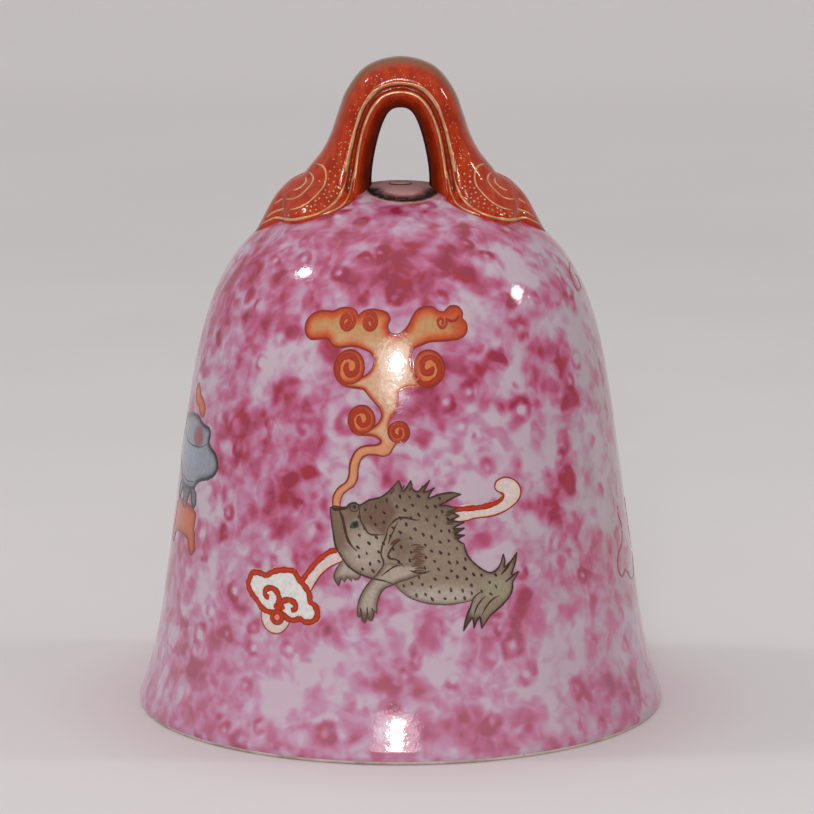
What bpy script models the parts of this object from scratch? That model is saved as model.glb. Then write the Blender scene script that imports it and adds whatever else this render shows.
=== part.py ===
"""Porcelain hand bell with a loop handle and a hung clapper, for Blender 4.5.

Run it with: blender --background --python part.py
Metres, +Z up. The origin is the centre of the mouth, on the plane that the lip rests on.
The handle's arch stands in the XZ plane, so that its opening runs along Y.
"""

import math

import bmesh
import bpy
from mathutils import Vector

MM = 0.001

# Driving dimensions, in millimetres.
CROWN_Z = 86.2  # top of the porcelain shell, under the handle
APEX_Z = 106.3  # top of the handle, which is the bell's height
LIP_WALL = 2.4  # porcelain thickness just above the lip
CROWN_WALL = 4.0  # porcelain thickness at the crown
SEAM_GAP = 0.3  # left between pieces that touch
WIRE_R = 0.7  # the iron wire of the hanger and of the clapper's stem
SHELL_SEGMENTS = 48

# The shell's outer profile (radius, height), from the crown's centre down to the lip.
OUTER_PROFILE = [
    (0.0, CROWN_Z),
    (8.7, 84.95),
    (16.0, 82.4),
    (22.1, 79.0),
    (26.3, 75.0),
    (29.4, 70.0),
    (31.7, 64.0),
    (33.6, 56.0),
    (35.5, 44.0),
    (37.1, 32.0),
    (38.5, 22.0),
    (39.7, 14.0),
    (41.0, 8.0),
    (42.2, 4.0),
    (43.0, 1.5),
]
# The lip below the flare: rounded outside, a flat ring to stand on, rounded inside.
LIP_OUTER_R = 42.4
LIP_INNER_R = 41.0
LIP_POINTS = [(42.9, 0.6), (LIP_OUTER_R, 0.0), (LIP_INNER_R, 0.0), (40.6, 0.5)]
INNER_START_Z = 2.2  # the inner wall follows the outer one above this height

# The handle's right half: outer edge (x, z), inner edge (x, z) and half depth along Y.
ARCH_STATIONS = [
    ((17.2, 83.0), (4.3, 80.5), 8.8),
    ((15.6, 87.3), (4.6, 84.6), 8.6),
    ((12.6, 90.9), (4.8, 87.6), 7.4),
    ((11.2, 93.8), (4.2, 91.0), 6.5),
    ((10.1, 97.0), (3.4, 94.3), 6.1),
    ((8.6, 100.9), (2.4, 96.9), 5.9),
    ((5.4, 104.7), (1.3, 98.1), 5.7),
    ((0.0, APEX_Z), (0.0, 98.4), 5.6),
]
ARCH_SECTION_POINTS = 16
ARCH_STEPS = 3  # sections between two stations
ARCH_SQUARENESS = 2.5  # exponent of the section's superellipse

# One half of a terminal's plan outline (x, y), from the leg's foot to the tip: a cloud-head leaf.
LEAF_OUTLINE = [
    (6.4, 0.0),
    (6.9, 5.3),
    (7.4, 9.3),
    (8.6, 11.2),
    (10.6, 11.8),
    (12.6, 11.8),
    (14.4, 11.7),
    (15.8, 11.1),
    (17.4, 9.8),
    (18.6, 7.6),
    (19.4, 5.2),
    (20.5, 4.8),
    (21.5, 3.8),
    (22.7, 2.2),
    (23.6, 0.0),
]
LEAF_SPINE = (10.5, 20.0)  # the crest line along X
LEAF_CREST = 4.5  # height of the crest above the shell
LEAF_RINGS = 6
LEAF_SINK = 2.0  # depth below the shell's surface, cut away again

# The hole in the crown and the headed pin that hangs in it. The head lies in a countersink.
HOLE_R = WIRE_R + SEAM_GAP
SINK_R = 2.7
SINK_DEPTH = 1.4
HEAD_R = 1.95
HEAD_RIM_DROP = 0.3  # the head's rim lies this far below the crown
HEAD_CONE_DROP = SINK_DEPTH - 0.15  # the foot of its cone, parallel to the countersink
BUFFER_R = 3.6  # the leather washer under the crown
BUFFER_THICK = 1.3
BUFFER_BELOW = 0.75  # from the shell's inner apex down to the washer, whose rim then clears the dome

# The pin's eye lies in the XZ plane. The stem's eye hangs on the eye's lowest wire, and is
# concentric with it, so that it swings about X with the same gap all round.
HANGER_EYE_R = 2.5
SWING_Z = 73.4
STEM_EYE_R = 2 * WIRE_R + SEAM_GAP

BOB_BOTTOM_Z = 13.4
# The bob's outside (radius, height above its foot): a turned drop.
BOB_PROFILE = [
    (2.4, 0.0),
    (5.2, 1.0),
    (7.6, 3.8),
    (8.5, 8.0),
    (7.8, 12.2),
    (5.6, 16.0),
    (3.6, 18.8),
    (2.9, 21.2),
]
BOB_TOP_Z = BOB_BOTTOM_Z + BOB_PROFILE[-1][1]
WASHER_R = 2.7
WASHER_THICK = 0.6
COLLAR_R = 1.9
COLLAR_HEIGHT = 1.8
RIVET_R = 1.6
RIVET_HEIGHT = 1.0
SMALL_SEGMENTS = 20


def smooth_through(points, steps):
    """Points on a centripetal Catmull-Rom curve through points, with steps spans in each stretch."""
    points = [Vector(p) for p in points]
    first = points[0] * 2 - points[1]
    last = points[-1] * 2 - points[-2]
    padded = [first, *points, last]
    curve = []
    for p0, p1, p2, p3 in zip(padded, padded[1:], padded[2:], padded[3:]):
        t1 = (p1 - p0).length ** 0.5
        t2 = t1 + (p2 - p1).length ** 0.5
        t3 = t2 + (p3 - p2).length ** 0.5
        for k in range(steps):
            t = t1 + (t2 - t1) * k / steps
            a1 = p0.lerp(p1, t / t1)
            a2 = p1.lerp(p2, (t - t1) / (t2 - t1))
            a3 = p2.lerp(p3, (t - t2) / (t3 - t2))
            b1 = a1.lerp(a2, t / t2)
            b2 = a2.lerp(a3, (t - t1) / (t3 - t1))
            curve.append(b1.lerp(b2, (t - t1) / (t2 - t1)))
    curve.append(points[-1])
    return curve


def outward_normals(profile):
    """Unit normals of a profile that runs from the axis down its outer side."""
    normals = []
    for k in range(len(profile)):
        ahead = profile[min(k + 1, len(profile) - 1)]
        behind = profile[max(k - 1, 0)]
        along = (ahead - behind).normalized()
        normals.append(Vector((-along.y, along.x)))
    normals[0] = Vector((0.0, 1.0))
    return normals


def offset_profile(profile, distance_at):
    """The profile moved outwards by distance_at(height) along its normals."""
    moved = []
    for point, normal in zip(profile, outward_normals(profile)):
        shifted = point + normal * distance_at(point.y)
        moved.append(Vector((max(shifted.x, 0.0), shifted.y)))
    return moved


def wall_at(height):
    """The porcelain's thickness, which grows from the lip to the crown."""
    return LIP_WALL + (CROWN_WALL - LIP_WALL) * (height / CROWN_Z) ** 1.5


def shell_height(radius):
    """Height of the shell's outer surface over a radius near the crown."""
    for high, low in zip(OUTER_CURVE, OUTER_CURVE[1:]):
        if low.x >= radius:
            share = (radius - high.x) / (low.x - high.x)
            return high.y + (low.y - high.y) * share
    raise ValueError("the radius is outside the shell")


def finish_mesh(bm, name, material, smooth_angle=35):
    """The bmesh as a named object with its faces turned outwards and its round sides smooth."""
    bmesh.ops.recalc_face_normals(bm, faces=bm.faces)
    mesh = bpy.data.meshes.new(name)
    bm.to_mesh(mesh)
    bm.free()
    mesh.shade_smooth()
    mesh.set_sharp_from_angle(angle=math.radians(smooth_angle))
    obj = bpy.data.objects.new(name, mesh)
    bpy.context.scene.collection.objects.link(obj)
    if material:
        mesh.materials.append(material)
    return obj


def spin_profile(name, profile, segments, material=None, closed=False):
    """A solid of revolution about Z from (radius, height) points; closed joins the last to the first."""
    bm = bmesh.new()
    verts = [bm.verts.new((p[0] * MM, 0.0, p[1] * MM)) for p in profile]
    pairs = list(zip(verts, verts[1:]))
    if closed:
        pairs.append((verts[-1], verts[0]))
    edges = [bm.edges.new(pair) for pair in pairs]
    bmesh.ops.spin(
        bm,
        geom=verts + edges,
        axis=(0, 0, 1),
        cent=(0, 0, 0),
        angle=math.tau,
        steps=segments,
        use_merge=True,
    )
    bmesh.ops.remove_doubles(bm, verts=bm.verts, dist=0.01 * MM)
    return finish_mesh(bm, name, material)


def skin_rings(bm, rings):
    """Faces between rings of vertices that each close on themselves, and a cap on both ends."""
    for first, second in zip(rings, rings[1:]):
        count = len(first)
        for k in range(count):
            following = (k + 1) % count
            bm.faces.new((first[k], first[following], second[following], second[k]))
    bm.faces.new(list(reversed(rings[0])))
    bm.faces.new(rings[-1])


def torus(name, ring_r, wire_r, centre_z, normal):
    """A closed wire ring whose plane's normal is 'X' or 'Y'."""
    bpy.ops.mesh.primitive_torus_add(
        major_radius=ring_r * MM,
        minor_radius=wire_r * MM,
        major_segments=24,
        minor_segments=10,
        location=(0, 0, centre_z * MM),
        rotation=(0, math.pi / 2, 0) if normal == "X" else (math.pi / 2, 0, 0),
    )
    obj = bpy.context.active_object
    obj.name = name
    obj.data.name = name
    return obj


def make_cutter(obj):
    """Marks a helper that only shapes another object."""
    obj.hide_render = True
    obj.display_type = "WIRE"
    return obj


def add_boolean(obj, other, operation):
    """An exact Boolean with a helper, which stays hidden."""
    make_cutter(other)
    modifier = obj.modifiers.new(f"{operation.lower()}_{other.name}", "BOOLEAN")
    modifier.operation = operation
    modifier.object = other


def make_material(name, colour, roughness, metallic=0.0):
    """A plain Principled material."""
    made = bpy.data.materials.new(name)
    made.use_nodes = True
    shader = made.node_tree.nodes["Principled BSDF"]
    shader.inputs["Base Color"].default_value = (*colour, 1.0)
    shader.inputs["Roughness"].default_value = roughness
    shader.inputs["Metallic"].default_value = metallic
    return made


def bell_shell(enamel):
    """The thrown porcelain body: a flared, domed shell, open at the mouth and bored at the crown."""
    outer = [p for p in OUTER_CURVE if p.x > SINK_R]
    inner = [p for p in INNER_CURVE[::2] if p.y > INNER_START_Z and p.x > HOLE_R]
    profile = [Vector((HOLE_R, CROWN_Z - SINK_DEPTH)), Vector((SINK_R, shell_height(SINK_R)))]
    profile += outer + [Vector(p) for p in LIP_POINTS] + list(reversed(inner))
    profile.append(Vector((HOLE_R, INNER_CURVE[0].y)))
    return spin_profile("bell_shell", profile, SHELL_SEGMENTS, enamel, closed=True)


def arch_solid():
    """The handle's arch: sections between its outer and inner edges, lofted from foot to foot."""
    right = [(*outer, *inner, depth) for outer, inner, depth in ARCH_STATIONS]
    left = [(-ox, oz, -ix, iz, d) for ox, oz, ix, iz, d in reversed(right[:-1])]
    bm = bmesh.new()
    rings = []
    for ox, oz, ix, iz, depth in smooth_through(right + left, ARCH_STEPS):
        outer = Vector((ox, 0.0, oz))
        inner = Vector((ix, 0.0, iz))
        middle = (outer + inner) / 2
        half = (outer - inner) / 2
        ring = []
        for k in range(ARCH_SECTION_POINTS):
            angle = math.tau * k / ARCH_SECTION_POINTS
            along = superellipse(math.cos(angle))
            across = superellipse(math.sin(angle))
            corner = middle + half * along + Vector((0.0, depth, 0.0)) * across
            ring.append(bm.verts.new(corner * MM))
        rings.append(ring)
    skin_rings(bm, rings)
    return finish_mesh(bm, "arch", None)


def superellipse(value):
    """A circle's coordinate pushed towards a rounded square's."""
    return math.copysign(abs(value) ** (2 / ARCH_SQUARENESS), value)


def leaf_solid(side):
    """A cloud-head terminal, a mound on the shoulder that thins out to its leaf-shaped outline."""
    half = smooth_through(LEAF_OUTLINE, 2)
    outline = half + [Vector((p.x, -p.y)) for p in reversed(half[1:-1])]
    bm = bmesh.new()
    rings = [leaf_ring(bm, outline, side, 0.0, -LEAF_SINK)]
    for step in range(LEAF_RINGS + 1):
        inset = step / LEAF_RINGS
        rise = LEAF_CREST * math.sin(inset * math.pi / 2)
        rings.append(leaf_ring(bm, outline, side, inset, rise))
    skin_rings(bm, rings)
    bmesh.ops.remove_doubles(bm, verts=bm.verts, dist=0.01 * MM)
    return finish_mesh(bm, f"leaf_{'right' if side > 0 else 'left'}", None)


def leaf_ring(bm, outline, side, inset, rise):
    """One ring of a terminal: the outline drawn in towards the spine, at a height above the shell."""
    ring = []
    for point in outline:
        spine_x = min(max(point.x, LEAF_SPINE[0]), LEAF_SPINE[1])
        plan = point.lerp(Vector((spine_x, 0.0)), inset)
        height = shell_height(plan.length) + rise * tip_fade(plan.x)
        ring.append(bm.verts.new(Vector((plan.x * side, plan.y, height)) * MM))
    return ring


def tip_fade(x):
    """How much of the crest's height is left near the tip."""
    start, end = 17.0, LEAF_OUTLINE[-1][0]
    share = min(max((x - start) / (end - start), 0.0), 1.0)
    return 1.0 - share**1.6


def loop_handle(red):
    """The press-moulded handle: arch and two terminals, its underside shaped to the crown."""
    handle = arch_solid()
    handle.name = "loop_handle"
    handle.data.materials.append(red)
    for side in (1, -1):
        add_boolean(handle, leaf_solid(side), "UNION")
    crown = offset_profile(OUTER_CURVE, lambda height: SEAM_GAP)
    crown = [p for p in crown if p.y > 60.0]
    crown.append(Vector((0.0, crown[-1].y)))
    cutter = spin_profile("crown_form", crown, SHELL_SEGMENTS)
    add_boolean(handle, cutter, "DIFFERENCE")
    return handle


def buffer_washer(leather):
    """The leather washer that keeps the pin's eye off the inside of the crown."""
    top_z = INNER_CURVE[0].y - BUFFER_BELOW
    return flat_ring("buffer_washer", BUFFER_R, top_z - BUFFER_THICK, BUFFER_THICK, leather)


def hanger_pin(iron):
    """The headed wire that turns in the crown's hole, with an eye bent at its lower end."""
    eye_z = SWING_Z + HANGER_EYE_R
    profile = [
        (0.0, CROWN_Z),
        (HEAD_R * 0.7, CROWN_Z - HEAD_RIM_DROP * 0.4),
        (HEAD_R, CROWN_Z - HEAD_RIM_DROP),
        (WIRE_R, CROWN_Z - HEAD_CONE_DROP),
        (WIRE_R, eye_z + HANGER_EYE_R),
        (0.0, eye_z + HANGER_EYE_R),
    ]
    pin = spin_profile("hanger_pin", profile, SMALL_SEGMENTS, iron)
    add_boolean(pin, torus("hanger_eye", HANGER_EYE_R, WIRE_R, eye_z, "Y"), "UNION")
    return pin


def clapper_stem(iron):
    """The clapper's wire: an eye at the top and a peened head at the bottom."""
    head_top = BOB_BOTTOM_Z - SEAM_GAP - WASHER_THICK - SEAM_GAP
    head_bottom = head_top - RIVET_HEIGHT
    shank_top = SWING_Z - STEM_EYE_R
    profile = [
        (0.0, shank_top),
        (WIRE_R, shank_top),
        (WIRE_R, head_top),
        (RIVET_R - 0.2, head_top),
        (RIVET_R, head_top - 0.2),
        (RIVET_R, head_bottom + 0.5),
        (RIVET_R * 0.7, head_bottom + 0.1),
        (0.0, head_bottom),
    ]
    stem = spin_profile("clapper_stem", profile, SMALL_SEGMENTS, iron)
    add_boolean(stem, torus("stem_eye", STEM_EYE_R, WIRE_R, SWING_Z, "X"), "UNION")
    return stem


def clapper_bob(wood):
    """The turned hardwood drop that strikes the wall, bored for the stem."""
    outside = [
        Vector((p.x, p.y + BOB_BOTTOM_Z)) for p in smooth_through(BOB_PROFILE, 2)
    ]
    bore = [Vector((HOLE_R, BOB_TOP_Z)), Vector((HOLE_R, BOB_BOTTOM_Z))]
    return spin_profile("clapper_bob", outside + bore, 32, wood, closed=True)


def flat_ring(name, outer_r, bottom_z, thickness, material):
    """A washer or collar on the stem, with its rims broken."""
    rim = 0.15
    top_z = bottom_z + thickness
    profile = [
        (HOLE_R, bottom_z),
        (outer_r - rim, bottom_z),
        (outer_r, bottom_z + rim),
        (outer_r, top_z - rim),
        (outer_r - rim, top_z),
        (HOLE_R, top_z),
    ]
    return spin_profile(name, profile, SMALL_SEGMENTS, material, closed=True)


def hang_on(pivot_name, height, pieces, parent=None):
    """An empty on a joint's axis that the pieces of one moving body hang on."""
    pivot = bpy.data.objects.new(pivot_name, None)
    bpy.context.scene.collection.objects.link(pivot)
    parent_z = parent.location.z if parent else 0.0
    pivot.parent = parent
    pivot.location.z = height * MM - parent_z
    for piece in pieces:
        piece.parent = pivot
        piece.location.z -= height * MM
    return pivot


def build():
    """Every piece of the bell."""
    for obj in list(bpy.data.objects):
        bpy.data.objects.remove(obj)
    enamel = make_material("rose_enamel", (0.75, 0.36, 0.48), 0.08)
    red = make_material("iron_red_enamel", (0.50, 0.07, 0.02), 0.08)
    leather = make_material("brown_leather", (0.20, 0.11, 0.06), 0.75)
    iron = make_material("dark_iron", (0.16, 0.14, 0.13), 0.45, metallic=1.0)
    brass = make_material("old_brass", (0.62, 0.45, 0.20), 0.35, metallic=1.0)
    wood = make_material("rosewood", (0.20, 0.07, 0.04), 0.35)

    bell_shell(enamel)
    loop_handle(red)
    buffer_washer(leather)
    hanger = hang_on("hanger_swivel", CROWN_Z, [hanger_pin(iron)])
    washer_z = BOB_BOTTOM_Z - SEAM_GAP - WASHER_THICK
    clapper = [
        clapper_stem(iron),
        clapper_bob(wood),
        flat_ring("end_washer", WASHER_R, washer_z, WASHER_THICK, brass),
        flat_ring("stem_collar", COLLAR_R, BOB_TOP_Z + SEAM_GAP, COLLAR_HEIGHT, brass),
    ]
    hang_on("clapper_swing", SWING_Z, clapper, parent=hanger)


OUTER_CURVE = smooth_through(OUTER_PROFILE, 2)
INNER_CURVE = offset_profile(OUTER_CURVE, lambda height: -wall_at(height))
build()
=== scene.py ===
"""Looks of the porcelain hand bell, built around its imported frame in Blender 4.5.

Lengths are in millimetres until a mesh is made. A place on the shell is (across, height): across runs
round the body at WRAP_R from the side that faces -Y, so a motif can be drawn as if on flat paper.
"""

import math

import bpy
import numpy as np
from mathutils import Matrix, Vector
from mathutils.bvhtree import BVHTree
from mathutils.geometry import delaunay_2d_cdt


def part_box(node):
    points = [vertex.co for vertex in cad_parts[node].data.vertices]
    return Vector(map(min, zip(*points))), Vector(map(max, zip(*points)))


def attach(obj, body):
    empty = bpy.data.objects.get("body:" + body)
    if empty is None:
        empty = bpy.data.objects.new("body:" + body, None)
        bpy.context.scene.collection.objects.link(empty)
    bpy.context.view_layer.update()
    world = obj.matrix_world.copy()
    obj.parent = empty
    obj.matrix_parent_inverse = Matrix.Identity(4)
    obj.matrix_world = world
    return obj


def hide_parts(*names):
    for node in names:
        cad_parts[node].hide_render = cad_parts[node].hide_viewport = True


MM = 0.001
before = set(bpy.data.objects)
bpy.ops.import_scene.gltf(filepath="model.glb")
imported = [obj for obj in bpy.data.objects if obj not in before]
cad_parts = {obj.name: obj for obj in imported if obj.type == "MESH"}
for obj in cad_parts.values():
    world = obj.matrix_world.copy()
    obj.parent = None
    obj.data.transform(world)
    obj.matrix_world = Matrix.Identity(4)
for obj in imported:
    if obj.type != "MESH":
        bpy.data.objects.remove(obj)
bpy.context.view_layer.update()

MOUTH_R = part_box("bell_shell")[1].x / MM
CROWN_Z = 86.2  # top of the porcelain shell, under the handle
WRAP_R = 36.0
SHELL_SEGMENTS = 288
SEED = 20

# The shell's outer profile (radius, height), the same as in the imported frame.
OUTER_PROFILE = [
    (0.0, CROWN_Z), (8.7, 84.95), (16.0, 82.4), (22.1, 79.0), (26.3, 75.0), (29.4, 70.0), (31.7, 64.0),
    (33.6, 56.0), (35.5, 44.0), (37.1, 32.0), (38.5, 22.0), (39.7, 14.0), (41.0, 8.0), (42.2, 4.0),
    (MOUTH_R, 1.5),
]
LIP_WALL = 2.4
CROWN_WALL = 4.0
HOLE_R = 1.0  # the hole in the crown for the hanger pin
SINK_R = 2.7  # the countersink that takes the pin's head
SINK_DEPTH = 1.4
WIRE_R = 0.7
SWING_Z = 73.4  # the height of the axis that the clapper swings about
HANGER_EYE_R = 2.5
STEM_EYE_R = 1.7
EYE_TURN = 338  # degrees of a circle that each wire's eye takes up


# ---------------------------------------------------------------- curves


def smooth_through(points, steps, closed=False):
    """Points on a centripetal Catmull-Rom curve through points, with steps spans in each stretch."""
    p = np.asarray(points, float)
    if closed:
        padded = np.vstack([p[-1:], p, p[:2]])
    else:
        padded = np.vstack([2 * p[:1] - p[1:2], p, 2 * p[-1:] - p[-2:-1]])
    curve = []
    for p0, p1, p2, p3 in zip(padded, padded[1:], padded[2:], padded[3:]):
        t1 = np.linalg.norm(p1 - p0) ** 0.5
        t2 = t1 + np.linalg.norm(p2 - p1) ** 0.5
        t3 = t2 + np.linalg.norm(p3 - p2) ** 0.5
        t = (t1 + (t2 - t1) * np.arange(steps) / steps)[:, None]
        a1 = p0 + (p1 - p0) * t / t1
        a2 = p1 + (p2 - p1) * (t - t1) / (t2 - t1)
        a3 = p2 + (p3 - p2) * (t - t2) / (t3 - t2)
        b1 = a1 + (a2 - a1) * t / t2
        b2 = a2 + (a3 - a2) * (t - t1) / (t3 - t1)
        curve.append(b1 + (b2 - b1) * (t - t1) / (t2 - t1))
    curve = np.vstack(curve)
    return curve if closed else np.vstack([curve, p[-1]])


def evenly(curve, spacing, closed=False):
    """The curve's points again, about spacing apart along it."""
    if closed:
        curve = np.vstack([curve, curve[:1]])
    lengths = np.r_[0, np.cumsum(np.linalg.norm(np.diff(curve, axis=0), axis=1))]
    count = max(int(round(lengths[-1] / spacing)), 3)
    places = np.linspace(0, lengths[-1], count + 1)
    even = np.column_stack([np.interp(places, lengths, c) for c in curve.T])
    return even[:-1] if closed else even


def corners(*runs, spacing=0.28):
    """A closed outline of smooth runs that meet at sharp corners; each run starts where the last ended."""
    outline = []
    start = runs[-1][-1]
    for run in runs:
        stretch = [start, *run]
        outline.append(evenly(smooth_through(stretch, 6), spacing)[:-1])
        start = run[-1]
    return np.vstack(outline)


# ---------------------------------------------------------------- the shell's surface


def wall_at(height):
    """The porcelain's thickness, which grows from the lip to the crown."""
    return LIP_WALL + (CROWN_WALL - LIP_WALL) * (np.clip(height, 0, None) / CROWN_Z) ** 1.5


OUTER_CURVE = smooth_through(OUTER_PROFILE, 16)
_along = np.gradient(OUTER_CURVE, axis=0)
_along /= np.linalg.norm(_along, axis=1)[:, None]
OUTER_NORMALS = np.column_stack([-_along[:, 1], _along[:, 0]])
INNER_CURVE = OUTER_CURVE - OUTER_NORMALS * wall_at(OUTER_CURVE[:, 1])[:, None]


def ripple(angle, height):
    """The thrown and glazed wall's slight unevenness, in millimetres."""
    slow = 0.05 * np.sin(2 * angle + height / 21) + 0.03 * np.sin(5 * angle - height / 11 + 1)
    quick = 0.012 * np.sin(17 * angle + height / 3.1) * np.sin(height / 2.3 - 4 * angle)
    return (slow + quick - 0.08) * np.clip((80 - height) / 15, 0, 1) * np.clip(height / 8, 0, 1)


def shell_points(across, height, lift=0.0):
    """Places in metres for drawing points on the shell, lifted along its normal."""
    angle = np.asarray(across) / WRAP_R
    height = np.asarray(height, float)
    z_up = OUTER_CURVE[::-1, 1]
    radius = np.interp(height, z_up, OUTER_CURVE[::-1, 0]) + ripple(angle, height)
    normal_r = np.interp(height, z_up, OUTER_NORMALS[::-1, 0])
    normal_z = np.interp(height, z_up, OUTER_NORMALS[::-1, 1])
    radius = radius + normal_r * lift
    return MM * np.column_stack(
        [radius * np.sin(angle), -radius * np.cos(angle), height + normal_z * lift]
    )


def shell_top(radius):
    """The outer surface's height over a radius near the crown."""
    return np.interp(radius, OUTER_CURVE[:, 0], OUTER_CURVE[:, 1])


# ---------------------------------------------------------------- meshes


def make_object(name, points, faces, materials=(), indices=None, smooth_angle=40, colours=None):
    """A mesh object in metres, smooth but for sharp edges, with colours at its points if given."""
    mesh = bpy.data.meshes.new(name)
    mesh.from_pydata(np.asarray(points).tolist(), [], [list(map(int, f)) for f in faces])
    for item in materials:
        mesh.materials.append(item)
    if indices is not None:
        mesh.polygons.foreach_set("material_index", np.asarray(indices, np.int32))
    if colours is not None:
        layer = mesh.color_attributes.new("tint", "FLOAT_COLOR", "POINT")
        rgba = np.column_stack([colours, np.ones(len(colours))]).astype(np.float32)
        layer.data.foreach_set("color", rgba.ravel())
    mesh.validate()
    mesh.shade_smooth()
    if smooth_angle:
        mesh.set_sharp_from_angle(angle=math.radians(smooth_angle))
    obj = bpy.data.objects.new(name, mesh)
    bpy.context.scene.collection.objects.link(obj)
    return obj


def lathe(profile, segments, closed=True):
    """Points in millimetres and faces of a profile (radius, height) turned about Z, and each face's row."""
    profile = np.asarray(profile, float)
    count = len(profile)
    angle = math.tau * np.arange(segments) / segments
    x, y = np.outer(np.cos(angle), profile[:, 0]), np.outer(np.sin(angle), profile[:, 0])
    z = np.tile(profile[:, 1], (segments, 1))
    points = np.stack([x, y, z], axis=-1).reshape(-1, 3)
    faces = []
    rows = []
    for k in range(count if closed else count - 1):
        n = (k + 1) % count
        for s in range(segments):
            t = (s + 1) % segments
            faces.append((s * count + k, s * count + n, t * count + n, t * count + k))
            rows.append(k)
    return points, faces, rows


def sweep(path, radius, sides=16):
    """Points and faces of a round bar along a path in millimetres; radius may vary along it."""
    path = np.asarray(path, float)
    radius = np.broadcast_to(radius, len(path))
    along = np.gradient(path, axis=0)
    along /= np.linalg.norm(along, axis=1)[:, None]
    side = np.cross(along[0], (0.31, 0.52, 0.79))
    rings = []
    for point, direction, r in zip(path, along, radius):
        side = side - direction * side.dot(direction)
        side /= np.linalg.norm(side)
        up = np.cross(direction, side)
        turn = math.tau * np.arange(sides) / sides
        rings.append(point + r * (np.cos(turn)[:, None] * side + np.sin(turn)[:, None] * up))
    return np.vstack(rings), tube_faces(len(path), sides)


def tube_faces(rings, count):
    """Quads between rings of points that each close on themselves, and a cap on both ends."""
    faces = [
        (r * count + k, r * count + (k + 1) % count, (r + 1) * count + (k + 1) % count, (r + 1) * count + k)
        for r in range(rings - 1)
        for k in range(count)
    ]
    last = (rings - 1) * count
    return faces + [tuple(range(count))[::-1], tuple(range(last, last + count))]


def joined(*parts):
    """One list of points and one of faces from several (points, faces) pairs."""
    points, faces, start = [], [], 0
    for part_points, part_faces in parts:
        points.append(np.asarray(part_points))
        faces += [tuple(i + start for i in face) for face in part_faces]
        start += len(part_points)
    return np.vstack(points), faces


# ---------------------------------------------------------------- materials


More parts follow.
